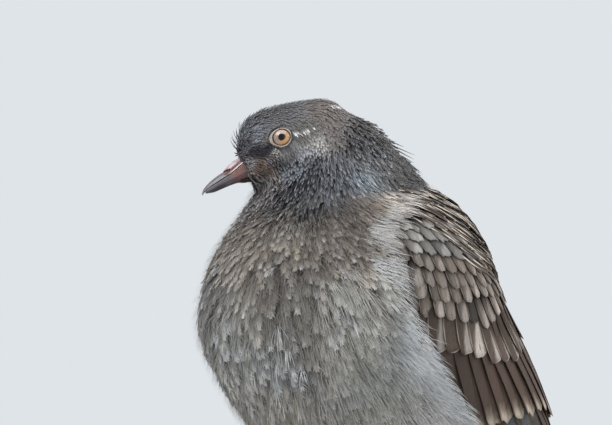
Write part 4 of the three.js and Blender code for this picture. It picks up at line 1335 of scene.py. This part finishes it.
def addScapulars(name, hand, material):
    tips = []
    for order, place in enumerate(np.arange(6.55, 9.7, scapulars["step"])):
        low = np.interp(place, scapularEdge["place"], scapularEdge["angle"])
        for angle in np.arange(low + (order % 2) * scapulars["gap"] / 2, 90, scapulars["gap"]):
            tips.append((place, angle))
    tips = np.array(tips) + rng.normal(0, 1, (len(tips), 2)) * (0.13, 0.5)
    fromEdge = tips[:, 1] - np.interp(tips[:, 0], scapularEdge["place"], scapularEdge["angle"])
    lines, outs = wingLines(tips[:, 0], tips[:, 1], scapulars["long"], 15.0, hand, 10.1)
    batch = bladeBatch(scapulars, lines, outs, hand)
    front = np.repeat(smoothStep(20, 2, fromEdge), len(batch["tints"]) // len(lines))
    front = front * smoothStep(0.3, 0.8, batch["vane"][:, 1]) * 0.5  # lighter over the wing's front
    batch["tints"] = mixed(batch["tints"], linear(scapulars["front"]), front[:, None])
    joinBlades("scapulars_" + name, [batch], material)


secondaries = {"rows": 16, "columns": 9, "outline": quillOutline, "roundness": 0.07, "wide": 7.4, "sink": 2.4,
               "lift": -0.7, "tilt": 0.15, "offset": 0.25, "arch": 0.1, "root": "#3b302b", "tip": "#493c35",
               "inner": "#665b53", "split": -0.55, "innerShare": 0.5, "end": "#9a8f83", "endFrom": 0.885,
               "endPeak": 0.2, "endAt": 0.4, "ragged": 0.7, "gap": 7.0, "long": 62, "fringe": ("#8f8478", 0.6),
               "tips": ((-26, -14, 24, 50, 78), (5.9, 5.72, 5.15, 4.55, 3.5))}
primaries = {"rows": 18, "columns": 7, "outline": quillOutline, "roundness": 0.05, "wide": 5.2, "sink": 1.2,
             "lift": -1.5, "tilt": 0.1, "offset": 0.4, "root": "#40362f", "tip": "#38302a", "inner": "#5f554d",
             "split": -0.5, "innerShare": 0.5, "tips": (0.1, 0.1, 0.4, 0.85, 1.35, 1.85, 2.35, 2.8, 3.2, 3.6),
             "shares": (0.16, 0.25, 0.33, 0.40, 0.47, 0.54, 0.61, 0.68, 0.75, 0.82), "root place": 5.8,
             "fringe": ("#8f8478", 0.5)}


def addQuills(name, hand, material):
    plan = secondaries
    angles, tips = plan["tips"]
    tipAngle = np.arange(angles[0], angles[-1] + 0.1, plan["gap"])
    tipPlace = np.interp(tipAngle, angles, tips) + rng.normal(0, 0.015, len(tipAngle))
    batches = []
    for i, (place, angle) in enumerate(zip(tipPlace[:, None], tipAngle[:, None])):
        lines, outs = wingLines(place, angle, plan["long"], fanned(angle, 1), hand)
        flat = np.interp(angle[0], [5, 30], [1, 0.2])  # the inner ones lie over the others, and flatter
        make = {**plan, "lift": plan["lift"] + 0.03 * i, "tilt": plan["tilt"] * flat, "sink": plan["sink"] * flat}
        batches.append(toned(bladeBatch(make, lines, outs, hand), angle))
    plan = primaries
    for i, (tip, across) in enumerate(zip(plan["tips"], plan["shares"])):
        place = np.linspace(plan["root place"], tip, steps)[None]
        angle = mixed(edgeAt(place, "low"), edgeAt(place, "high"), across)
        make = {**plan, "lift": plan["lift"] + 0.06 * i}
        batches.append(bladeBatch(make, onWing(place, angle, hand), wingNormal(place, angle, hand), hand))
    joinBlades("quills_" + name, batches, material, ["primaries_" + name])


tail = {"rows": 18, "columns": 9, "outline": quillOutline, "roundness": 0.05, "wide": 10.5, "sink": 0.0,
        "tilt": 0.0, "arch": 0.02, "root": "#5f5b58", "tip": "#5b5753", "end": "#2f2b28", "endFrom": 0.76,
        "endPeak": 0.01, "endAt": 0.0, "thick": 0.25, "count": 12, "spread": 11.0, "stack": 0.28,
        "fringe": ("#6b655f", 0.5)}


def addTail(material):
    _, down = tailMiddle(0.0)
    across = np.array([1.0, 0, 0])
    up = np.cross(across, down)
    up = up * np.sign(up[2])
    half, batches = tail["count"] / 2, []
    for k in np.arange(tail["count"]) - half + 0.5:
        points = []
        for share in np.linspace(0, 1, steps):
            at, _ = tailMiddle(share * (1.0 - 0.004 * abs(k)))
            out = k / half * mixed(4.0, tail["spread"], share) * mm
            points.append(at + across * out + up * (0.6 - abs(k) * tail["stack"]) * mm)
        outs = np.repeat(up[None, None], steps, 1)
        batches.append(bladeBatch({**tail, "tilt": -0.02 * np.sign(k)}, np.array(points)[None], outs, 1))
    joinBlades("rectrices", batches, material, ["tail"])


# A surface of revolution about the eye's axis. The profile gives (radius, height) in mm, height
# outwards from the eye's middle, and shaped(radius, height, turn) may change both.
def eyeLathe(profile, segments, hand, shaped, closed=False):
    profile = np.array(profile, float)
    turn = np.linspace(0, 2 * math.pi, segments, endpoint=False)
    turns = np.repeat(turn[None], len(profile), 0)
    radius, height = shaped(np.repeat(profile[:, :1], segments, 1), np.repeat(profile[:, 1:], segments, 1), turns)
    eyeSide = (eyeLeft - eyeRight) @ headSide / 2 / mm
    points = np.stack([radius * np.cos(turns) + eyePlan["at"][0], hand * (eyeSide + height),
                       radius * np.sin(turns) + eyePlan["at"][1]], 2).reshape(-1, 3)
    rows = len(profile)
    i, j = np.mgrid[:rows if closed else rows - 1, :segments]
    k, n = (j + 1) % segments, (i + 1) % rows * segments
    quads = np.stack([i * segments + j, i * segments + k, n + k, n + j], 2).reshape(-1, 4)
    return fromHead(points), quads if hand < 0 else quads[:, ::-1], radius.ravel(), turns.ravel()


def ballHeight(radius):
    return np.sqrt(np.maximum(eyePlan["ball"] ** 2 - radius ** 2, 0))


# Eye of a young pigeon: a clear wet cornea over an orange-brown iris, so a sharp gloss over fine
# radial fibres, with a black pupil and a dark outer rim.
wetEye = {"grain": {"Scale": 3500, "Detail": 3}, "shade": (0.85, 1.12),
          "shine": {"Roughness": 0.5, "IOR": 1.38, "Specular IOR Level": 0.0, "Coat Weight": 1.0,
                    "Coat Roughness": 0.02, "Coat IOR": 1.36}}
# Bare eyelid skin: thin, dry and finely warty, paler on its tops, partly its own colour and partly painted light.
lidSkin = {"grain": {"Scale": 2600, "Detail": 3}, "shade": (0.82, 1.12),
           "relief": {"Strength": 0.4, "Distance": 0.0001}, "shine": {"Roughness": 0.6, "Specular IOR Level": 0.4}}

# Colours by mm from the middle of the pupil; from 3 mm out the ball lies under the lids and is painted dark as
# their shade.
irisStops = [
    (0.0, "#050506"), (1.0, "#070708"), (1.16, "#43352b"), (1.38, "#947655"), (1.65, "#a9855a"), (2.2, "#a77f50"),
    (2.46, "#8c6744"), (2.62, "#5a3f2e"), (2.74, "#261914"), (3.0, "#1a1210"), (9, "#1a1312"),
]
lidStops = [
    # On the lids, the darkest colours at the inner edge by the ball are painted shade.
    (2.86, "#1c1411"), (2.97, "#3c302a"), (3.12, "#93887f"), (3.25, "#aa9f96"), (3.42, "#948a81"), (3.6, "#a2988e"),
    (3.85, "#b3aaa0"), (4.2, "#9c948b"), (4.5, "#847d76"), (4.8, "#55514e"), (6, "#3c3a39"),
]
# The lid's section: mm from the pupil's middle, and mm proud of the ball.
lidProfile = [
    (2.86, -0.35), (2.86, 0.02), (2.97, 0.18), (3.14, 0.27), (3.34, 0.27), (3.46, 0.3), (3.58, 0.34), (3.7, 0.36),
    (3.82, 0.38), (3.94, 0.4), (4.06, 0.42), (4.18, 0.44), (4.3, 0.42), (4.45, 0.34), (4.7, 0.1), (5.0, -0.4),
    (5.0, -1.6), (3.6, -1.4),
]
eyeSegments, lidSegments = 96, 248


def radialColours(stops, radius):
    places = [place for place, _ in stops]
    colours = np.array([linear(colour) for _, colour in stops])
    return np.stack([np.interp(radius, places, colours[:, k]) for k in range(3)], 1)


def addEye(name, hand, material):
    ball, around = eyePlan["ball"], eyeSegments
    turns = np.radians(np.concatenate([[0.4], np.arange(1.2, 40, 1.0), np.arange(42, 176, 6), [179.5]]))
    profile = [(ball * math.sin(a), ball * math.cos(a)) for a in turns]

    def bulged(radius, height, turn):  # the cornea stands a little prouder than the ball
        return radius, height + np.where(height > 0, 0.18 * smoothStep(3.1, 1.2, radius), 0)

    verts, faces, radius, turn = eyeLathe(profile, around, hand, bulged)
    oval = 1 + eyePlan["stretch"] * np.cos(turn) ** 2
    front = np.where(np.repeat(turns < math.pi / 2, around), radius / oval, 9.0)
    draw = np.random.default_rng(5)
    fibres = np.interp(turn, np.linspace(0, 2 * math.pi, around + 1), draw.normal(0, 1, around + 1))
    colours = radialColours(irisStops, front + 0.05 * np.sin(3 * turn + 1))
    onIris = smoothStep(1.1, 1.35, front) * smoothStep(2.7, 2.5, front)
    # painted reflection of the sky on the cornea: greyer in front and paler above
    for colour, middle, most in (("#79706e", 0.3, 0.85), ("#b3a49f", 1.85, 0.8)):  # greyer in front, paler above
        share = onIris * smoothStep(0.2, 1, np.cos(turn - middle)) * most
        colours = mixed(colours, linear(colour), share[:, None])
    colours = colours * (1 + 0.1 * (fibres * onIris)[:, None])
    count, ring = len(verts), [(j, (j + 1) % around) for j in range(around)]
    fans = [(count, b, a) for a, b in ring]  # one point closes each pole
    fans += [(count + 1, count - around + a, count - around + b) for a, b in ring]
    fans = fans if hand < 0 else [(pole, b, a) for pole, a, b in fans]
    ends = np.array([verts[:around].mean(0), verts[-around:].mean(0)])
    mesh = bpy.data.meshes.new(name)
    mesh.from_pydata(np.concatenate([verts, ends]).tolist(), [], faces.tolist() + fans)
    mesh.polygons.foreach_set("use_smooth", np.ones(len(mesh.polygons), bool))
    mesh.validate()
    setTint(mesh, np.clip(np.concatenate([colours, colours[:1], colours[-1:]]), 0, 1))
    makePiece(name, mesh, material, ["eye_left" if hand > 0 else "eye_right"])


def wartsAt(radius, turn, sway):  # -1 to 1, up on the small warts; their rows sway round the eye
    cell = eyePlan["papilla"]
    row = np.round(radius / cell) * math.pi
    return np.cos(2 * math.pi * radius / cell) * np.cos(eyePlan["papillae"] * turn + row + sway * np.sin(5 * turn))


def addLids(name, hand, material):
    profile = [(r, ballHeight(r) + h) for r, h in lidProfile]

    def warty(radius, height, turn):
        outside = smoothStep(3.2, 3.4, radius) * smoothStep(4.7, 4.4, radius)
        corner = np.maximum(0, np.cos(turn + 0.75)) ** 4  # the front corner, low down
        spread = corner * smoothStep(3.2, 4.6, radius) * 0.9
        height = height + outside * 0.07 * np.maximum(wartsAt(radius, turn, 1.2), -0.2) - spread * 0.55
        squeeze = smoothStep(3.2, 4.3, radius) * (1 - 1 / eyePlan["oval"]) * np.sin(turn) ** 2
        stretch = 1 + eyePlan["stretch"] * np.cos(turn) ** 2 * smoothStep(4.7, 4.2, radius)
        return radius * stretch * (1 - squeeze) + spread + 0.04 * np.sin(3 * turn + 0.5), height

    verts, faces, _, turn = eyeLathe(profile, lidSegments, hand, warty, closed=True)
    radius = np.repeat([r for r, _ in profile], lidSegments)
    colours = radialColours(lidStops, radius)
    lower = smoothStep(0.4, 1, -np.sin(turn)) * smoothStep(3.3, 3.1, radius) * 0.75  # a pale rim below
    colours = mixed(colours, linear("#ab9d95"), lower[:, None])
    # Painted light and shade: the warts' tops lighter, partly their own paler colour, and the grooves between them
    # darker; the ring's front darker than its back. Patchy is the skin's own uneven tone.
    front = 1 - 0.18 * np.cos(turn + 0.3)
    patchy = 1 + 0.12 * np.sin(7 * turn + 2 * np.sin(3 * turn))
    colours = colours * (1 + 0.22 * wartsAt(radius, turn, 0)[:, None]) * (front * patchy)[:, None]
    mesh = makeMesh(name, verts, faces)
    setTint(mesh, np.clip(colours, 0, 1))
    makePiece(name, mesh, material)


# Height of the gape line, where the halves of the bill meet, at mm ahead of the eyes.
gapeLine = {"ahead": [10, 13, 17, 21, 25, 29, 31.8, 33], "up": [-1, -2, -3.2, -4.3, -4.9, -5.5, -6.2, -7.1]}
nostril = {"front": (25.2, -2.5), "back": (21.0, -3.0), "half": 0.42, "deep": 0.6}  # mm, ahead and up
billPlan = {"voxel": 0.24, "grow": 0.12, "smooth": 4, "gap": 0.09}  # mm; gap: from each half to the gape line


def bandOf(value, middle, half):
    return np.clip(1 - np.abs(value - middle) / half, 0, 1)


def toSegment(ahead, up, start, end):  # distance in mm from a straight line's piece
    start, end = np.array(start), np.array(end)
    gap = np.stack([ahead, up], 1) - start
    t = np.clip(gap @ (end - start) / ((end - start) @ (end - start)), 0, 1)
    return np.linalg.norm(gap - t[:, None] * (end - start), axis=1)


def billHalf(nodes, upper):
    parts = [weldedCopy(node, billPlan["grow"] * mm) for node in nodes]
    mesh = remeshed(joined(parts), billPlan["voxel"] * mm, billPlan["smooth"])
    place = inHead(vertsOf(mesh))
    line = np.interp(place[:, 0], gapeLine["ahead"], gapeLine["up"])
    near = place[:, 0] > 15
    if upper:
        low = np.maximum(place[:, 2], line + billPlan["gap"])
        place[:, 2] = np.where(near, low, place[:, 2])
        away = toSegment(place[:, 0], place[:, 2], nostril["front"], nostril["back"])
        slit = smoothStep(nostril["half"], 0.1, away)
        place[:, 1] -= np.sign(place[:, 1]) * slit * nostril["deep"] * smoothStep(0.3, 1.0, np.abs(place[:, 1]))
    else:
        place[:, 2] += 0.35 * smoothStep(28.5, 31.5, place[:, 0])
        place[:, 2] = np.where(near, np.minimum(place[:, 2], line - billPlan["gap"]), place[:, 2])
    setVerts(mesh, fromHead(place))
    return mesh, place, line


def billColours(place, line, upper):
    ahead, side, up = place.T
    rise = up - line
    if upper:
        cerePart = smoothStep(25.2, 23.2, ahead + 0.35 * np.abs(side)) * smoothStep(1.0, 1.9, rise)
        slit = toSegment(ahead, up, nostril["front"], nostril["back"])
        marks = [("#3c3a42", smoothStep(0.8, 2.2, rise) * smoothStep(24, 27, ahead) * 0.8),
                 ("#65636a", bandOf(rise, 1.0, 0.8) * smoothStep(23, 26, ahead) * 0.7),
                 ("#a18d92", cerePart),
                 # a paler band on the middle of the cere, partly its own pale colour and partly a painted highlight
                 ("#b4a4aa", cerePart * smoothStep(0.3, 0.9, bandOf(ahead, 19.5, 3.5)) * 0.5),
                 ("#573f3e", smoothStep(24, 21, ahead) * smoothStep(1.9, 0.9, rise) * 0.9),
                 ("#7d5a56", smoothStep(0.95, 0.5, slit) * 0.6),
                 ("#4b1e1b", smoothStep(0.5, 0.25, slit)),
                 ("#c9b8b5", smoothStep(0.7, 0.3, rise) * smoothStep(22.5, 20.5, ahead)),
                 ("#88847f", smoothStep(0.6, 0.25, rise) * smoothStep(21, 23, ahead) * 0.6)]
    else:
        marks = [("#704f49", smoothStep(23, 19.5, ahead) * smoothStep(-3.6, -1.2, rise)),
                 ("#62494a", smoothStep(23, 20, ahead) * smoothStep(-1.6, -3.0, rise)),
                 ("#39373e", smoothStep(23, 26, ahead) * smoothStep(-0.6, -1.4, rise) * 0.8),
                 ("#87837c", smoothStep(-0.6, -0.2, rise) * smoothStep(20.5, 22.5, ahead) * 0.5),
                 ("#9c8280", smoothStep(-0.5, -0.15, rise) * smoothStep(21.5, 19.5, ahead) * 0.7)]
    marks.append(("#716b63", smoothStep(31.4, 33.2, ahead) * 0.7))
    colour = np.tile(linear("#55525a"), (len(place), 1))
    for mark, share in marks:
        colour = mixed(colour, linear(mark), np.clip(share, 0, 1)[:, None])
    return np.clip(colour * (1 + mottle(fromHead(place), 1.2, 0)[:, None] * 0.08), 0, 1)


# Bill: horn over bone, fine-grained and dull, with a soft fleshy cere at its root.
billHorn = {"grain": {"Scale": 1800, "Detail": 4, "Roughness": 0.65}, "shade": (0.8, 1.15),
            "relief": {"Strength": 0.25, "Distance": 0.0001},
            "shine": {"Roughness": 0.42, "IOR": 1.54, "Specular IOR Level": 0.45}}


def addBill(material):
    for name, nodes, upper in (("bill_upper_horn", ["bill_upper", "cere"], True),
                               ("bill_lower_horn", ["bill_lower"], False)):
        mesh, place, line = billHalf(nodes, upper)
        setTint(mesh, billColours(place, line, upper))
        print(name, len(mesh.polygons), "faces")
        makePiece(name, mesh, material, nodes)


legPlan = {"voxel": 0.36, "grow": 0.24, "pitch": 1.55, "scute": 0.13}  # mm
toeNames = ["middle", "inner", "outer", "hind"]


def legNodes(name):
    return ["tarsus_" + name] + ["toe_%s_%s" % (toe, name) for toe in toeNames]


# Plates across the front of the leg and the top of each toe. Gives how proud each point stands, in mm,
# and 1 in the seams between plates.
def scutesOf(points, normals, name):
    nearest, along, top = np.full(len(points), 9.0), np.zeros(len(points)), np.zeros(len(points))
    for node in legNodes(name):
        verts = vertsOf(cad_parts[node].data)
        middle = verts.mean(0)
        axis = np.linalg.svd(verts - middle, full_matrices=False)[2][0]
        reach = (verts - middle) @ axis
        run = np.clip((points - middle) @ axis, reach.min(), reach.max())
        away = np.linalg.norm(points - middle - run[:, None] * axis, axis=1) / mm
        face = unit(np.array([0, -1.0, 0.25])) if node.startswith("tarsus") else np.array([0, 0, 1.0])
        closer = away < nearest
        nearest = np.where(closer, away, nearest)
        along = np.where(closer, run / mm, along)
        top = np.where(closer, normals @ face, top)
    phase = along / legPlan["pitch"] % 1
    plate = 1 - np.abs(2 * phase - 1) ** 5
    side = 0.5 + 0.5 * mottle(points, 0.9, 1)
    shown = smoothStep(-0.15, 0.35, top)
    return mixed(0.5 * side, plate, shown) * legPlan["scute"], shown * smoothStep(0.55, 0.1, plate)


# Scaled skin of a leg: dull pinkish plates with darker seams, dry and slightly waxy.
legSkin = {"grain": {"Scale": 900, "Detail": 4}, "shade": (0.78, 1.15),
           "relief": {"Strength": 0.35, "Distance": 0.00015},
           "shine": {"Roughness": 0.5, "Specular IOR Level": 0.4}}


# Claws: dark keratin, streaked lengthwise and smoothly worn, so a low gloss.
def clawMaterial():
    material, add = startMaterial("darkClawKeratin")
    streak = add("TexNoise", None, {"Vector": add("TexCoord", out="Object"), "Scale": 1200, "Detail": 3})
    colour = add("ValToRGB", {"stops": [(0.3, "#1c1918"), (0.55, "#332d2b"), (0.8, "#544b46")]}, {"Fac": streak})
    shader = add("BsdfPrincipled", None, {"Base Color": colour, "Roughness": 0.38, "IOR": 1.54})
    add("OutputMaterial", None, {"Surface": shader})
    return material


def addLeg(name, material):
    nodes = legNodes(name)
    mesh = remeshed(joined([weldedCopy(node, legPlan["grow"] * mm) for node in nodes]), legPlan["voxel"] * mm, 3)
    verts, normals = vertsOf(mesh), normalsOf(mesh)
    proud, seam = scutesOf(verts, normals, name)
    verts = verts + normals * ((proud - 0.1) * mm)[:, None]
    verts[:, 2] = np.maximum(verts[:, 2], 0.02 * mm)
    setVerts(mesh, verts)
    colour = mixed(linear("#93605a"), linear("#a9756c"), smoothStep(-0.6, 0.8, mottle(verts, 5, 0))[:, None])
    colour = mixed(colour, linear("#5d3735"), seam[:, None] * 0.8)
    colour = mixed(colour, linear("#8a7469"), smoothStep(-0.2, -0.8, normals[:, 2])[:, None] * 0.7)  # dusty soles
    setTint(mesh, colour)
    print("leg_" + name, len(mesh.polygons), "faces")
    makePiece("leg_" + name, mesh, material, nodes)


addCamera()
for lampName in ("key", "fill", "rim", "sky"):
    addLamp(lampName, studio[lampName])

# The feathers' materials: how far the barbs slant, their pitch in mm, their dark and light streaks, the shaft's
# half width in mm and its shade, the relief, roughness, gloss and sheen, and how wide a worn pale edge is in mm.
featherPlans = {
    # loose barbs without hooks at their ends, so soft and dull
    "softContourFeather": {"sweep": 1.2, "barb": 0.45, "dark": 0.72, "light": 1.25, "shaft": 0.12, "shaftDark": 0.3,
                           "relief": 0.35, "rough": 0.85, "gloss": 0.25, "sheen": 0.1},
    # firmer and slightly glossy, with strongly slanted barbs that catch the light in streaks
    "neckHackleFeather": {"sweep": 1.6, "barb": 0.4, "dark": 0.7, "light": 1.3, "shaft": 0.1, "shaftDark": 0.3,
                          "relief": 0.4, "rough": 0.6, "gloss": 0.4, "sheen": 0.1},
    # flat, closely hooked webs, smooth and matt, with worn pale edges
    "wingCovertFeather": {"sweep": 1.3, "barb": 0.4, "dark": 0.68, "light": 1.3, "shaft": 0.12, "shaftDark": 0.3,
                          "relief": 0.4, "rough": 0.75, "gloss": 0.15, "sheen": 0.0, "fringe": 0.5},
    # narrow dark webs, sleek, with broad worn edges
    "scapularFeather": {"sweep": 1.5, "barb": 0.4, "dark": 0.72, "light": 1.25, "shaft": 0.1, "shaftDark": 0.3,
                        "relief": 0.3, "rough": 0.7, "gloss": 0.15, "sheen": 0.0, "fringe": 0.7},
    # stiff even webs on a strong dark shaft, with the clearest barbs
    "flightFeather": {"sweep": 1.8, "barb": 0.55, "dark": 0.78, "light": 1.2, "shaft": 0.3, "shaftDark": 0.4,
                      "relief": 0.25, "rough": 0.65, "gloss": 0.2, "sheen": 0.0, "fringe": 0.35},
}
feather = {name: featherMaterial(name, plan) for name, plan in featherPlans.items()}
softFeather = feather["softContourFeather"]
sides = (("left", 1), ("right", -1))

for sideName, hand in sides:
    addQuills(sideName, hand, feather["flightFeather"])
    addCoverts(sideName, hand, feather["wingCovertFeather"])
    addScapulars(sideName, hand, feather["scapularFeather"])
addTail(feather["flightFeather"])

setTint(skin, plumage(skinVerts)[0])
makePiece("skin", skin, bareMaterial("greyDownSkin", downSkin), fleshNodes)
rootPlace, _ = bodyPlace(roots)
for name, (kind, band, places) in coatPieces.items():
    inside = [(low <= values) & (values < high)
              for values, (low, high) in ((rootCoat[:, 3], spacingBands[band]), (rootPlace, places))]
    chosen = np.flatnonzero(inside[0] & inside[1])
    addCoatPiece(name, chosen, coatPlans[kind], feather["neckHackleFeather"] if kind == "neck" else softFeather)
addChin(softFeather)
for name, plan in strandPlans.items():
    addStrands(name, plan, softFeather)
for name, plan in spikePlans.items():
    addSpikes(name, plan, softFeather)
eyeSurface, lidSurface = bareMaterial("wetEye", wetEye), bareMaterial("bareEyelidSkin", lidSkin)
for sideName, hand in sides:
    addEye("eyeball_" + sideName, hand, eyeSurface)
    addLids("lids_" + sideName, hand, lidSurface)
addBill(bareMaterial("billHornAndCere", billHorn))
legSurface, clawHorn = bareMaterial("scaledLegSkin", legSkin), clawMaterial()
for sideName, _ in sides:
    addLeg(sideName, legSurface)
    for toeName in toeNames:
        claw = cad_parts["claw_%s_%s" % (toeName, sideName)]
        claw.data.materials.clear()
        claw.data.materials.append(clawHorn)


# Matt floor paint: one even colour, faintly clouded.
def addFloor():
    material, add = startMaterial("matFloorPaint")
    grain = add("TexNoise", None, {"Vector": add("TexCoord", out="Object"), "Scale": 40, "Detail": 3})
    colour = add("Mix", tinted, {0: 0.05, 6: studio["floorColour"], 7: grain}, 2)
    add("OutputMaterial", None, {"Surface": add("BsdfPrincipled", None, {"Base Color": colour, "Roughness": 0.8})})
    half = 4.0
    mesh = makeMesh("floor", [(-half, -half, 0), (half, -half, 0), (half, half, 0), (-half, half, 0)],
                    [(0, 1, 2, 3)], smooth=False)
    floor = looseObject("floor", mesh)
    mesh.materials.append(material)


def addWorld():  # white light from all round, and the sky's colour where it is seen
    world = bpy.data.worlds.new("studio")
    world.use_nodes = True
    world.node_tree.nodes.clear()
    add, most = partial(addNode, world.node_tree), {"operation": "MAXIMUM"}
    rays = {socket.name: socket for socket in add("LightPath", out=slice(None))}
    seen = add("Math", most, {0: rays["Is Camera Ray"], 1: rays["Is Glossy Ray"]})
    seen = add("Math", most, {0: seen, 1: rays["Is Transmission Ray"]})
    sky = add("Background", None, {"Color": "#ffffff", "Strength": studio["skyLight"]})
    back = add("Background", None, {"Color": studio["backColour"], "Strength": 1.0})
    add("OutputWorld", None, {"Surface": add("MixShader", None, {0: seen, 1: sky, 2: back})})
    bpy.context.scene.world = world


addFloor()
addWorld()
bpy.context.scene.view_settings.view_transform = "Standard"
